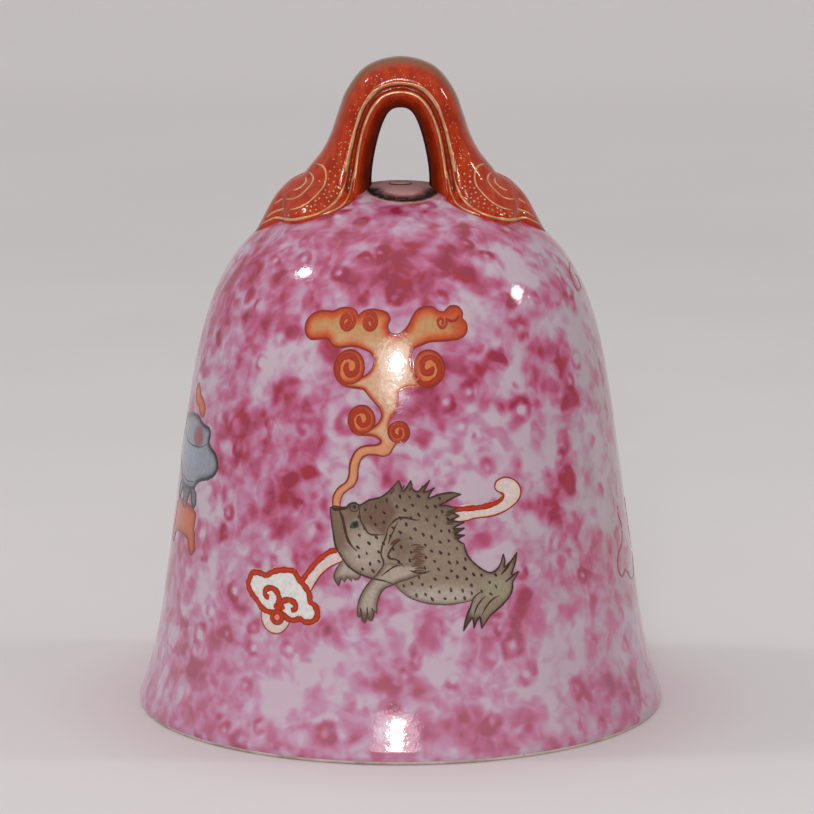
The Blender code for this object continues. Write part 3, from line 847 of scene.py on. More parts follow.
def make_gilding(handle, gold):
    """Gold lines and dots on the handle: along its moulded lines, in scrolls and strewn between."""
    faces = [tuple(f.vertices) for f in handle.data.polygons]
    tree = BVHTree.FromPolygons([Vector(v) for v in vertices(handle)], faces)
    parts = []

    def seen(x, height, side, back):
        """The place and normal on the handle behind a point of the front view, or its mirror image."""
        way = Vector((0, SIGHT.y * back, SIGHT.z))
        origin = Vector((x * side, 0, height)) - way * 40
        place, normal, _, _ = tree.ray_cast(origin, way)
        if place is None:
            near = Vector((x * side, 0, height)) - way * 9
            place, normal, _, _ = tree.find_nearest(near)
        return place, normal

    def line(places, width, ends=0.5):
        points = np.array([p for p, _ in places])
        normals = np.array([n for _, n in places])
        points = smooth_rows(points, 2)
        normals = smooth_rows(normals, 4)
        parts.append(gold_ribbon(points, normals, width, ends))

    def dot(place, normal, size):
        side = normal.orthogonal().normalized()
        up = normal.cross(side)
        ring = []
        for share, lift in ((1.0, -0.06), (1.0, 0.025), (0.55, 0.07)):
            for k in range(8):
                turn = math.tau * k / 8
                away = (side * math.cos(turn) + up * math.sin(turn)) * size * share
                ring.append(place + away + normal * lift)
        parts.append((np.array(ring), tube_faces(3, 8)))

    rows = arch_rows()
    random = np.random.default_rng(SEED + 9)
    for back in (1, -1):
        for share_column, depth, width, low in ((5, 0.99, 0.62, 88.5), (6, 0.94, 0.40, 87.2)):
            middle = rows[:, 0:2] + (rows[:, 2:4] - rows[:, 0:2]) * rows[:, share_column, None]
            on_arch = []
            for (x, z), half_depth in zip(middle, rows[:, 4]):
                if z > low:
                    near = Vector((x, -depth * half_depth * back, z))
                    place, normal, _, _ = tree.find_nearest(near)
                    on_arch.append((place, normal))
            line(on_arch, width, 0.9)
        for side in (1, -1):
            for path in (TERMINAL_BORDER, LEDGE_LINE, *TERMINAL_SCROLLS):
                even = evenly(smooth_through(path, 6), 0.25)
                width = 0.4 if path is TERMINAL_BORDER else 0.3
                line([seen(x, h, side, back) for x, h in even], width)
            strewn = []
            for _ in range(1500):
                spot = random.uniform((8.8, 80.2), (19.5, 91.5))
                gap = 0.62 + 0.09 * max(spot[1] - 84, 0)
                crowded = min((math.dist(spot, other) for other in strewn), default=9) < gap
                if is_clear_of_lines(spot[None]) and not crowded:
                    strewn.append(spot)
                    dot(*seen(*spot, side, back), random.uniform(0.13, 0.22))
        for _ in range(150):
            row = rows[random.integers(len(rows))]
            if row[1] < 91:
                continue
            share = row[5] * random.uniform(0.3, 0.92)
            x, z = row[0:2] + (row[2:4] - row[0:2]) * share
            place, normal, _, _ = tree.find_nearest(Vector((x, -0.95 * row[4] * back, z)))
            dot(place, normal, random.uniform(0.07, 0.12))
    points, gold_faces = joined(*parts)
    piece = make_object("gilt_lines", points * MM, gold_faces, [gold], smooth_angle=0)
    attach(piece, "bell")


GOLD_FIELD = np.array(
    [(9.4, 90.5), (9.2, 86.5), (9.8, 84.2), (11.2, 82.3), (14.0, 80.9), (17.6, 80.2), (18.4, 80.8)]
    + [(16.4, 81.3), (14.2, 82.6), (12.6, 84.2), (11.8, 85.8), (11.6, 87.6), (11.0, 90.5)]
)


def is_clear_of_lines(spot):
    """Whether a dot at the spot would lie in the gilder's field, clear of the terminal's lines."""
    lines = [np.array(line + line[::-1]) for line in (TERMINAL_BORDER, *TERMINAL_SCROLLS)]
    clear = min(edge_distance(spot, line)[0] for line in lines)
    return clear > 0.42 and inside_polygon(spot, GOLD_FIELD)[0]


def smooth_rows(rows, rounds):
    """Rows averaged with their neighbours, the ends kept."""
    rows = rows.copy()
    for _ in range(rounds):
        rows[1:-1] = (rows[:-2] + 2 * rows[1:-1] + rows[2:]) / 4
    return rows


def gold_ribbon(points, normals, width, ends):
    """A low rounded band along points on a surface; ends is its share of width at both ends."""
    along = np.gradient(points, axis=0)
    along /= np.maximum(np.linalg.norm(along, axis=1), 1e-9)[:, None]
    normals = normals / np.linalg.norm(normals, axis=1)[:, None]
    side = np.cross(normals, along)
    share = np.linspace(0, 1, len(points))
    half = width / 2 * np.interp(share, (0, 0.1, 0.9, 1), (ends, 1, 1, ends))
    half = half * (1 + 0.16 * np.sin(share * len(points) * 0.21) + 0.08 * np.sin(share * len(points) * 0.53))
    section = [(-1, -0.15), (-1, 0.02), (-0.55, 0.055), (0, 0.07), (0.55, 0.055), (1, 0.02), (1, -0.15)]
    rings = [points + side * (half * s)[:, None] + normals * lift for s, lift in section]
    band = np.stack(rings, axis=1).reshape(-1, 3)
    return band, tube_faces(len(points), len(section))


def line_distance(line, places):
    """The distance from each place to the nearest point of a smooth line in a plane."""
    line = evenly(line, 0.15)
    found = np.empty(len(places))
    for start in range(0, len(places), 2000):
        part = places[start : start + 2000]
        found[start : start + 2000] = np.sqrt(((part[:, None] - line[None]) ** 2).sum(-1)).min(1)
    return found


# ---------------------------------------------------------------- hanger and clapper


def turned(name, profile, material, segments=64):
    """A turned piece from its (radius, height) outline, which runs up its outside and closes inside."""
    points, faces, _ = lathe(profile, segments)
    return make_object(name, points * MM, faces, [material], smooth_angle=35)


def hanging_wire(near_z, far_z, eye_z, eye_r, above):
    """A straight wire that ends in an eye, as a path; above says that the straight is over the eye."""
    way = 1 if above else -1
    turn = np.radians(np.linspace(90 * way, (90 - EYE_TURN) * way, 72))
    ring = np.column_stack([eye_r * np.cos(turn), np.zeros(72), eye_z + eye_r * np.sin(turn)])
    straight = np.column_stack([np.zeros(24), np.zeros(24), np.linspace(far_z, near_z, 24)])
    path = np.vstack([straight[:-1], ring])
    return path if above else path[:, [1, 0, 2]]


def carried(piece, node, body):
    """The piece stands for the frame's node and moves with the body."""
    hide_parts(node)
    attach(piece, body)


BOB_BOTTOM_Z = 13.4
BOB_PROFILE = [
    (2.4, 0.0), (5.2, 0.9), (7.0, 2.6), (7.9, 4.6), (8.4, 7.0), (8.45, 9.0), (8.05, 11.4), (7.3, 13.2),
    (5.9, 15.4), (4.5, 17.2), (3.7, 18.5), (3.2, 19.4), (2.9, 21.2),
]
BOB_GROOVES = (4.4, 7.6, 8.5, 11.8, 18.6)


def make_pin(iron, shaded_end):
    """The hanger pin: a wire with a headed top that carries painted shade, and an eye at its foot."""
    eye_z = SWING_Z + HANGER_EYE_R
    head = [(0.0, 86.15), (1.2, 86.12), (1.8, 86.02), (1.93, 85.88), (0.95, 84.92), (0.0, 84.9)]
    path = hanging_wire(eye_z + HANGER_EYE_R + 0.2, 85.2, eye_z, HANGER_EYE_R, True)
    points, faces = joined(lathe(head, 40, closed=False)[:2], sweep(path, WIRE_R, 20))
    pin = make_object("bent_hanger_pin", points * MM, faces, [iron, shaded_end], smooth_angle=45)
    # the head's top takes the painted shade of the crown round it
    matt_faces(pin, points[:, 2], 85.7)
    carried(pin, "hanger_pin", "hanger")


def make_clapper(iron, wood, brass):
    """The wire stem, the turned bob on it, and the washer and collar that hold the bob."""
    path = hanging_wire(SWING_Z - STEM_EYE_R - 0.2, 11.6, SWING_Z, STEM_EYE_R, False)
    rivet = [(0.0, 11.15), (0.9, 11.2), (1.45, 11.5), (1.6, 11.95), (1.55, 12.2), (0.0, 12.2)]
    points, faces = joined(sweep(path, WIRE_R, 20), lathe(rivet, 36, closed=False)[:2])
    stem = make_object("riveted_stem", points * MM, faces, [iron], smooth_angle=45)
    carried(stem, "clapper_stem", "clapper")

    outside = evenly(smooth_through(BOB_PROFILE, 6), 0.3)
    for z in BOB_GROOVES:
        outside[:, 0] -= 0.16 * np.exp(-(((outside[:, 1] - z) / 0.16) ** 2))
    bore = [(2.4, 21.2), (WIRE_R + 0.3, 21.1), (WIRE_R + 0.3, 0.1)]
    bob = turned("turned_bob", np.vstack([outside, bore]) + (0, BOB_BOTTOM_Z), wood, 96)
    carried(bob, "clapper_bob", "clapper")

    hole = WIRE_R + 0.25
    washer = [(2.55, 12.52), (2.7, 12.68), (2.7, 12.98), (2.55, 13.1), (hole, 13.1), (hole, 12.52)]
    carried(turned("dished_washer", washer, brass), "end_washer", "clapper")
    bead = [
        (1.5, 34.92), (1.8, 35.1), (1.9, 35.5), (1.72, 35.72), (1.72, 35.88), (1.9, 36.1), (1.8, 36.5),
        (1.5, 36.7), (hole, 36.7), (hole, 34.92),
    ]
    carried(turned("turned_collar", bead, brass), "stem_collar", "clapper")


def make_buffer(leather):
    """The leather washer under the crown, cut a little out of round."""
    hole = WIRE_R + 0.4
    profile = [
        (3.3, 80.16), (3.55, 80.4), (3.62, 80.8), (3.5, 81.2), (3.2, 81.42), (hole, 81.4), (hole, 80.2),
    ]
    points, faces, _ = lathe(profile, 72)
    turn = np.arctan2(points[:, 1], points[:, 0])
    points[:, :2] *= (1 + 0.018 * np.sin(3 * turn) + 0.012 * np.sin(7 * turn + 1))[:, None]
    washer = make_object("leather_washer", points * MM, faces, [leather])
    carried(washer, "buffer_washer", "bell")


# ---------------------------------------------------------------- painting on the shell

BRUSH_STEP = 0.22
RIM_DROOP = 0.004
SUNK = -0.05


class Painting:
    """Enamel colours on the shell, gathered into one mesh: thin raised washes, lines and dabs."""

    def __init__(self):
        self.parts = []
        self.colours = []
        self.random = np.random.default_rng(SEED)

    def move(self, across, mirror):
        """Draws from now on round the shell at across, turned left to right if mirror is set."""
        self.origin = (across, 0)
        self.way = (-1 if mirror else 1, 1)

    def on_shell(self, points):
        """A motif's own points as places on the shell."""
        return np.asarray(points, float) * self.way + self.origin

    def add(self, top, faces, rim, colours, lift):
        """A thin closed skin: the drawn top, and a bottom sunk in the glaze below it."""
        count = len(top)
        across, height = top[:, 0], top[:, 1]
        upper = shell_points(across, height, np.where(rim, lift - RIM_DROOP, lift))
        lower = shell_points(across, height, SUNK)
        below = [tuple(i + count for i in face[::-1]) for face in faces]
        sides = {}
        for face in faces:
            for i, j in zip(face, face[1:] + face[:1]):
                if (j, i) in sides:
                    del sides[(j, i)]
                else:
                    sides[(i, j)] = True
        walls = [(i + count, j + count, j, i) for i, j in sides]
        self.parts.append((np.vstack([upper, lower]), list(faces) + below + walls))
        self.colours.append(np.vstack([colours, colours]))

    def wash(self, outline, colour, lift=0.035, spacing=0.34):
        """A filled outline. colour is an RGB, or a function of the points and their depth inside."""
        outline = self.on_shell(outline)
        inside = fill_points(outline, spacing, self.random)
        points = [Vector(p) for p in np.vstack([outline, inside])]
        found = delaunay_2d_cdt(points, [], [list(range(len(outline)))], 1, 1e-5, False)
        flat = np.array([tuple(v) for v in found[0]])
        faces = np.array([tuple(f) for f in found[2]])
        faces = [tuple(f) for f in faces[inside_polygon(flat[faces].mean(1), outline)].tolist()]
        depth = edge_distance(flat, outline)
        if callable(colour):
            paint = colour((flat - self.origin) * self.way, depth)
        else:
            paint = np.tile(colour, (len(flat), 1))
        self.add(flat, faces, depth < 0.01, paint, lift)

    def stroke(self, points, width, colour, lift=0.06, ends=(0.25, 0.25), closed=False, tint=None):
        """A brush line through points; ends are the shares of its width at its start and end."""
        points = self.on_shell(points)
        curve = smooth_through(points, 8, closed) if len(points) > 2 else points
        curve = evenly(curve, BRUSH_STEP, closed)
        along = np.roll(curve, -1, 0) - np.roll(curve, 1, 0) if closed else np.gradient(curve, axis=0)
        along /= np.maximum(np.linalg.norm(along, axis=1), 1e-9)[:, None]
        side = np.column_stack([-along[:, 1], along[:, 0]])
        share = np.linspace(0, 1, len(curve))
        half = np.full(len(curve), width / 2)
        if not closed:
            half *= np.interp(share, (0, 0.22, 0.72, 1), (ends[0], 1, 1, ends[1]))
            half *= 1 + 0.10 * np.sin(share * 23 + len(curve)) + 0.06 * np.sin(share * 61)
        rows = [curve + side * (half * k)[:, None] for k in (-1, -0.5, 0, 0.5, 1)]
        flat = np.stack(rows, axis=1).reshape(-1, 2)
        count = len(curve)
        faces = []
        for i in range(count if closed else count - 1):
            j = (i + 1) % count
            faces += [(j * 5 + k, j * 5 + k + 1, i * 5 + k + 1, i * 5 + k) for k in range(4)]
        rim = np.tile([True, False, False, False, True], count)
        edge = np.tile([1.0, 0.3, 0.0, 0.3, 1.0], count)
        paint = np.tile(colour, (len(flat), 1))
        if tint is not None:
            paint = paint + (np.asarray(tint) - paint) * (edge * 0.85)[:, None]
        self.add(flat, faces, rim, paint, lift)

    def strokes(self, start, runs, width, colour, lift=0.06, **brush):
        """A brush line along each run; each starts where the last ended, and the first at start."""
        for run in runs:
            self.stroke([start, *run], width, colour, lift, **brush)
            start = run[-1]

    def dab(self, centre, size, colour, lift, count=10, turn=0.0):
        """A small oval dab; size is (length, width)."""
        centre = self.on_shell(centre)
        angle = math.tau * np.arange(count) / count
        local = np.column_stack([np.cos(angle) * size[0] / 2, np.sin(angle) * size[1] / 2])
        local *= 1 + 0.12 * self.random.standard_normal((count, 1))
        c, s = math.cos(turn), math.sin(turn) * self.way[0]
        ring = local @ np.array([[c, s], [-s, c]]) + centre
        flat = np.vstack([ring, ring * 0.5 + centre * 0.5, [centre]])
        faces = []
        for k in range(count):
            j = (k + 1) % count
            faces += [(k, j, j + count, k + count), (k + count, j + count, 2 * count)]
        rim = np.r_[np.ones(count, bool), np.zeros(count + 1, bool)]
        self.add(flat, faces, rim, np.tile(colour, (len(flat), 1)), lift)

    def finish(self, name, material):
        """All the painting so far as one piece that rides on the bell."""
        points, faces = joined(*self.parts)
        piece = make_object(name, points, faces, [material], smooth_angle=30, colours=np.vstack(self.colours))
        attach(piece, "bell")


def inside_polygon(points, outline):
    """True for each point that lies inside the closed outline."""
    x, y = points[:, 0][:, None], points[:, 1][:, None]
    ax, ay = outline[:, 0][None], outline[:, 1][None]
    bx, by = np.roll(outline[:, 0], -1)[None], np.roll(outline[:, 1], -1)[None]
    spans = (ay > y) != (by > y)
    rise = np.where(by == ay, 1e-9, by - ay)
    return ((x < (bx - ax) * (y - ay) / rise + ax) & spans).sum(1) % 2 == 1


def edge_distance(points, outline):
    """The distance from each point to the closed outline."""
    start, span = outline, np.roll(outline, -1, 0) - outline
    length = np.maximum((span**2).sum(1), 1e-12)
    found = np.empty(len(points))
    for first in range(0, len(points), 1500):
        part = points[first : first + 1500]
        away = part[:, None] - start[None]
        share = np.clip((away * span[None]).sum(-1) / length[None], 0, 1)
        found[first : first + 1500] = np.sqrt(((away - share[..., None] * span[None]) ** 2).sum(-1)).min(1)
    return found


def fill_points(outline, spacing, random):
    """Points spread evenly inside an outline, clear of its edge."""
    low, high = outline.min(0), outline.max(0)
    across = np.arange(low[0], high[0], spacing)
    up = np.arange(low[1], high[1], spacing * 0.866)
    x, y = np.meshgrid(across, up)
    x = x + (np.arange(len(up)) % 2)[:, None] * spacing / 2
    spread = np.column_stack([x.ravel(), y.ravel()])
    spread += random.uniform(-0.05, 0.05, spread.shape) * spacing
    spread = spread[inside_polygon(spread, outline)]
    return spread[edge_distance(spread, outline) > spacing * 0.35]


def blend_colours(first, second, share):
    """Colours between first and second, one for each share."""
    first = np.asarray(first, float)
    return first + (np.asarray(second, float) - first) * np.asarray(share)[:, None]


def toned(colours, tone, share):
    """The colours, each moved towards tone by its share."""
    return colours + (np.asarray(tone) - colours) * share[:, None]


def patch_share(points, outline, soft):
    """1 deep inside an outline and 0 well outside it, with an edge about soft wide."""
    outline = np.asarray(outline, float)
    signed = edge_distance(points, outline) * np.where(inside_polygon(points, outline), 1, -1)
    return step(signed, -soft, soft)


def spiral(centre, start, end, turns, first_angle, count):
    """Points of a spiral about centre, from radius start to end, over turns from first_angle."""
    share = np.linspace(0, 1, count)
    radius = start + (end - start) * share
    angle = math.radians(first_angle) + math.tau * turns * share
    return np.column_stack([radius * np.cos(angle), radius * np.sin(angle)]) + centre


def circle(centre, radius, count):
    """Points of a circle, the first to the right of its centre."""
    return spiral(centre, radius, radius, 1, 0, count + 1)[:-1]


VAPOUR_RIM = rgb(178, 48, 8)
VAPOUR_LINE = rgb(140, 38, 10)
VAPOUR_ORANGE = rgb(208, 104, 46)
VAPOUR_TAN = rgb(194, 148, 98)
VAPOUR_PALE = rgb(214, 170, 138)
RUYI_RED = rgb(194, 52, 8)
RUYI_DARK = rgb(112, 14, 10)
RUYI_LINE = rgb(152, 48, 26)
PORCELAIN_WHITE = rgb(222, 222, 218)
FLESH = rgb(226, 190, 178)


def vapour_colour(points, depth):
    """Orange-red at the brushed edge, broad in the lobes and narrow on the trunk, and a tan middle."""
    broad = step(points[:, 1], 63.5, 67.0)
    near = blend_colours(VAPOUR_RIM, VAPOUR_ORANGE, step(depth / (0.45 + 0.9 * broad), 0.0, 1.0))
    share = step(depth / (0.8 + 1.3 * broad), 0.3, 1.0)
    base = near + (blend_colours(VAPOUR_PALE, VAPOUR_TAN, broad) - near) * share[:, None]
    tail_tan = blend_colours(rgb(176, 84, 40), rgb(214, 146, 104), step(depth, 0.0, 0.35))
    base = base + (tail_tan - base) * step(points[:, 1], 51.5, 48.5)[:, None]
    right_lobe = step(np.hypot(points[:, 0] - 10.9, (points[:, 1] - 68.2) * 1.1), 2.8, 1.4)
    return toned(base, rgb(188, 62, 14), right_lobe * 0.7)


def volute_colour(points, depth):
    """The wash of a volute or an eye: dark orange at the rim, lighter inside."""
    return blend_colours(rgb(178, 54, 12), rgb(212, 122, 70), step(depth, 0.15, 1.1))


VAPOUR_ARM = [(0.2, 57.9), (1.2, 58.3), (2.4, 58.4), (3.5, 58.5)]
VAPOUR_EDGE = [
    [
        (2.6, 60.2), (1.9, 61.7), (1.9, 63.1), (2.5, 64.2), (3.8, 64.7), (5.2, 65.1), (7.3, 65.2),
        (9.5, 65.3), (11.4, 65.6), (12.4, 66.5), (12.5, 67.6), (11.8, 68.4),
    ],
    [(11.95, 69.4), (11.1, 70.2), (9.6, 70.2), (8.4, 69.5)],
    [
        (7.4, 69.6), (6.4, 70.2), (4.8, 70.3), (3.2, 69.8), (2.2, 68.7), (1.5, 67.6), (0.7, 66.8),
        (-0.3, 66.3), (-1.5, 66.3), (-2.1, 66.8), (-2.3, 67.7), (-1.9, 68.6), (-2.5, 69.4), (-3.9, 69.8),
        (-5.5, 69.95), (-7.0, 69.6), (-7.95, 68.95),
    ],
    [
        (-8.6, 69.7), (-10, 70.07), (-11.6, 69.9), (-12.95, 69.4), (-14.5, 69.4), (-16.1, 69.2),
        (-17.5, 68.5), (-18.2, 67.2), (-17.8, 65.8), (-16.6, 65.07), (-15, 65.2), (-13.4, 65.3),
        (-12.3, 64.4), (-10.9, 64.1), (-8.6, 64.4), (-6.4, 64.0), (-5.0, 63.3), (-4.5, 62.3), (-5.0, 60.9),
        (-6.1, 59.95), (-7.7, 59.6), (-8.9, 60.1),
    ],
    [
        (-10.9, 60.2), (-10.4, 59.1), (-9.2, 58.3), (-7.6, 58.1), (-6.2, 57.9), (-5.4, 57.1), (-4.3, 56),
        (-3.3, 55), (-3.07, 53.8), (-3.9, 52.5), (-5.3, 52.0), (-6.6, 52.5),
    ],
    [
        (-7.9, 52.4), (-7.4, 51.5), (-6.2, 50.9), (-4.8, 50.9), (-3.6, 50.5), (-3.1, 49.9), (-3.9, 49.4),
        (-5.2, 49.3), (-6.6, 48.9), (-7.5, 47.9), (-8.1, 46.3), (-8.2, 44.7), (-8.6, 43.6), (-9.8, 42.6),
        (-10.6, 41.3), (-10.7, 39.5),
    ],
]
VAPOUR_TAIL = [
    (-9.5, 39.5), (-9.4, 40.6), (-9.1, 41.5), (-8.4, 42.2), (-7.3, 43.1), (-6.8, 44.3), (-6.7, 45.9),
    (-6.25, 47.2), (-5.45, 47.8), (-4.1, 47.9), (-2.7, 47.7), (-1.8, 48), (-1.1, 49.05), (-0.4, 49.8),
    (0.6, 50.2),
]
VAPOUR_TRUNK = [
    (-0.9, 51.2), (-1.8, 52.2), (-1.8, 52.9), (-1.4, 53.8), (-0.7, 54.7), (-0.4, 56.1), (-0.3, 57.6),
]
VAPOUR_VOLUTES = [
    ((-8.8, 61.1), 2.9, 262, -1),
    ((4.9, 61.2), 2.95, 224, 1),
    ((-6.3, 53.2), 2.4, 268, -1),
    ((-0.3, 51.4), 1.85, 295, 1),
]


def paint_vapour(paint):
    """A column of vapour that climbs from the mouth of a beast and spreads in curling lobes."""
    paint.wash(corners(VAPOUR_ARM, *VAPOUR_EDGE, VAPOUR_TAIL, VAPOUR_TRUNK), vapour_colour)
    paint.strokes(VAPOUR_TRUNK[-1], [VAPOUR_ARM], 0.2, rgb(192, 120, 84), ends=(0.6, 0.6))
    paint.strokes(VAPOUR_ARM[-1], VAPOUR_EDGE, 0.3, VAPOUR_LINE, ends=(0.6, 0.6))
    paint.stroke([(-9.5, 39.6), *VAPOUR_TAIL[1:]], 0.24, rgb(138, 56, 28), ends=(0.6, 0.5))
    paint.stroke(VAPOUR_TRUNK[2:], 0.22, rgb(150, 70, 44), ends=(0.6, 0.5))

    def curl(points, width, ends):
        paint.stroke(points, width, VAPOUR_RIM, 0.085, ends, tint=VAPOUR_LINE)

    for centre, radius, first, way in VAPOUR_VOLUTES:
        rim = spiral(centre, radius, 0.85 * radius, way, first, 34)
        paint.wash(rim, volute_colour, 0.07)
        paint.stroke(rim, 0.26, VAPOUR_LINE, 0.1, ends=(0.5, 0.5))
        inner_turns = spiral(centre, radius - 0.4, 0.12 * radius, way * 1.4, first, 40)
        curl(inner_turns, 0.32 * radius, (0.4, 1.3))
    for centre, size, first in (((-9.95, 68.05), 1.55, 40), ((-5.6, 68.05), 1.5, 130)):
        paint.wash(circle(centre, size, 23), volute_colour, 0.055)
        curl(spiral(centre, size - 0.1, 0.15, -1.5, first, 30), 0.75, (0.5, 1.0))
    curl(spiral((7.7, 68.0), 1.05, 0.15, -1.4, 30, 26), 0.5, (0.6, 1.0))
    fold = [(8.6, 68.5), (9.5, 68.1), (10.5, 68.2), (11.4, 68.9)]
    paint.stroke(fold, 0.42, VAPOUR_LINE, 0.09, ends=(0.7, 0.3), tint=VAPOUR_RIM)


def ruyi_flesh(points, depth):
    """The pinkish white of the ruyi's thin parts."""
    return blend_colours(FLESH, rgb(218, 202, 196), step(depth, 0.1, 0.7))


def ruyi_white(points, depth):
    """White enamel with the red of its edge bled a little into it."""
    return blend_colours(FLESH, PORCELAIN_WHITE, step(depth, 0.25, 0.75))


RUYI_HOOK = [(9.2, 39.7), (13.2, 39.8), (15.2, 40.2), (16.4, 40.8), (16.7, 41.3)]
RUYI_LOOP = [
    (15.7, 41.7), (15.4, 42.2), (15.7, 43.1), (16.4, 43.5), (17.4, 43.65), (18.6, 43.3), (19.6, 42.5),
    (20.05, 41.4), (19.7, 40.2), (18.7, 39.3), (17.1, 38.5), (15.5, 38.0), (14, 37.8), (11.7, 37.7),
    (10.3, 37.4), (8.4, 37.3),
]
RUYI_STAFF = [
    (8.3, 39.25), (11, 39.3), (13.4, 39.4), (15.2, 39.75), (16.4, 40.3), (16.85, 40.95), (16.3, 41.3),
]
RUYI_NECK_UPPER = [(-9.75, 32.85), (-10.6, 32.7), (-12.1, 31.6), (-13.5, 30.1), (-15.3, 27.5)]
RUYI_NECK_LOWER = [(-13.8, 25.9), (-12.3, 28.6), (-10.7, 30.2), (-8.8, 31.2)]
RUYI_PALE_TAB = [
    (-21.8, 22.3), (-21.7, 21.0), (-20.9, 19.65), (-19.6, 19), (-18.2, 19.2), (-17.2, 20.2), (-16.7, 21.4),
]
RUYI_HEAD = [
    [(-24.1, 27.8), (-23.1, 28.05), (-22.2, 27.95), (-21.4, 27.75)],
    [(-20.3, 28.5), (-19.0, 28.95), (-17.6, 29.1), (-16.6, 29.1)],
    [(-15.6, 27.8), (-14.6, 26.8), (-13.85, 25.7), (-13.7, 24.5)],
    [(-12.9, 24.0), (-12.45, 23.0), (-12.6, 22.0), (-13.4, 21.4), (-14.4, 21.35), (-15.2, 21.8)],
    [
        (-16.2, 21.4), (-17.3, 21.6), (-18.3, 22.3), (-19.6, 22.2), (-20.9, 22.3), (-21.9, 22.8),
        (-22.7, 23.7),
    ],
    [(-23.6, 24.4), (-24.4, 25.3), (-24.7, 26.2), (-24.5, 26.9)],
]
RUYI_CURLS = [
    [
        (-18.9, 23.2), (-18.8, 24.4), (-19.4, 25.6), (-20.5, 26.0), (-21.4, 25.4), (-21.2, 24.6),
        (-20.6, 24.5),
    ],
    [(-18.9, 22.9), (-18.2, 24.1), (-17.1, 24.5), (-16.1, 24.0), (-16.0, 23.2), (-16.7, 22.9)],
]


def paint_ruyi(paint):
    """A ruyi sceptre that lies behind the beast: a white, red-edged cloud head and a hooked end."""

    def red_stroke(points, width, lift, ends):
        paint.stroke(points, width, RUYI_RED, lift, ends, tint=RUYI_DARK)

    paint.wash(corners(RUYI_HOOK, RUYI_LOOP), ruyi_flesh, 0.03)
    paint.stroke([(16.7, 41.25), *RUYI_LOOP], 0.25, RUYI_LINE, ends=(0.8, 0.8))
    red_stroke(RUYI_STAFF, 0.85, 0.065, (1.0, 0.35))
    paint.wash(corners(RUYI_NECK_UPPER, RUYI_NECK_LOWER), ruyi_flesh, 0.03)
    red_stroke(RUYI_NECK_UPPER, 0.85, 0.065, (1.0, 0.9))
    paint.stroke(RUYI_NECK_LOWER, 0.26, RUYI_LINE, ends=(0.8, 0.8))
    paint.wash(corners(RUYI_PALE_TAB, [(-19.0, 23.0)]), ruyi_flesh, 0.03)
    paint.stroke(RUYI_PALE_TAB, 0.24, rgb(150, 84, 66), ends=(0.8, 0.8))
    paint.wash(corners(*RUYI_HEAD), ruyi_white, 0.035)
    paint.strokes(RUYI_HEAD[-1][-1], RUYI_HEAD, 1.35, rgb(208, 140, 146), 0.02)
    paint.strokes(RUYI_HEAD[-1][-1], RUYI_HEAD, 0.92, RUYI_RED, 0.065, ends=(0.9, 0.9), tint=RUYI_DARK)
    for run in RUYI_HEAD[-1:] + RUYI_HEAD[:-1]:
        paint.dab(run[-1], (0.8, 0.8), RUYI_RED, 0.064)
    for curl in RUYI_CURLS:
        red_stroke(curl, 0.95, 0.08, (1.2, 0.8))
    knot = (-18.95, 21.55)
    paint.stroke(circle(knot, 0.85, 23), 0.78, RUYI_RED, 0.085, closed=True, tint=RUYI_DARK)
    paint.dab(knot, (1.05, 1.05), rgb(222, 130, 108), 0.08, 14)
    paint.dab((-18.7, 23.1), (1.9, 1.9), RUYI_RED, 0.075, 14)


TOAD_LINE = rgb(66, 42, 32)
TOAD_BODY = rgb(146, 128, 110)
TOAD_BROWN = rgb(108, 80, 62)
TOAD_BELLY = rgb(180, 166, 154)
TOAD_MAROON = rgb(56, 20, 28)

TOAD_HEAD_TOP = [
    (-10.5, 39.7), (-9.4, 39.6), (-8.4, 39.65), (-8.0, 40.1), (-7.3, 40.35), (-6.6, 40.1), (-6.2, 40.1),
    (-4.8, 40.9), (-3.2, 41.3), (-2.1, 42), (-1.3, 42.8), (-0.25, 44),
]
TOAD_SPINES = [
    [(0.15, 43.0), (0.45, 42.3), (1.0, 42.9), (1.7, 44.0)],
    [(1.9, 42.7), (2.6, 42.2), (3.6, 42.9), (4.7, 43.95)],
    [(3.9, 42.6), (3.6, 42.1), (4.5, 42.3), (5.5, 42.8)],
    [(4.7, 41.9), (4.4, 41.2), (6.2, 41.7), (8.2, 41.9), (9.7, 41.55)],
    [(8.4, 41.1), (6.8, 40.3), (6.1, 40.0), (7.4, 39.9), (9.0, 39.4)],
    [(7.9, 38.9), (8.3, 38.7), (9.3, 38.2)],
    [(7.9, 37.6), (8.6, 37.4), (10.1, 37.2)],
    [(8.6, 36.6), (8.2, 36.3), (10.1, 36.3)],
    [(8.8, 35.6), (8.4, 35.3), (10.1, 35.2)],
    [(8.9, 34.7), (9.0, 34.4), (9.9, 33.8)],
]
TOAD_HIP = [
    (10.05, 32.8), (10.5, 31.8), (11.3, 30.8), (12.3, 29.9), (13.2, 29.3), (14, 29.05), (14.9, 29.4),
    (15.6, 30.2), (16.2, 31.8),
]
TOAD_TUFTS = [
    [(16.4, 30.7), (16.2, 29.7), (17.2, 30.3), (18.6, 31.8)],
    [(18.2, 30.4), (17.6, 29.0), (17.4, 28.4), (18.7, 28.8)],
]
TOAD_HEEL = [
    (18.0, 27.9), (17.5, 27.2), (17.4, 26.3), (16.9, 25.2), (15.9, 24.2), (14.6, 23.2), (13.4, 22.3),
    (12.1, 20.5),
]
TOAD_TOES = [
    [(12.0, 21.6), (11.9, 22.4), (11.3, 21.6), (10.9, 20.6)],
    [(10.9, 21.8), (10.7, 22.3), (10.0, 21.4), (9.3, 20.3)],
]
TOAD_SOLE = [(9.6, 21.6), (10.0, 22.9), (10.5, 24.0), (10.9, 25.0)]
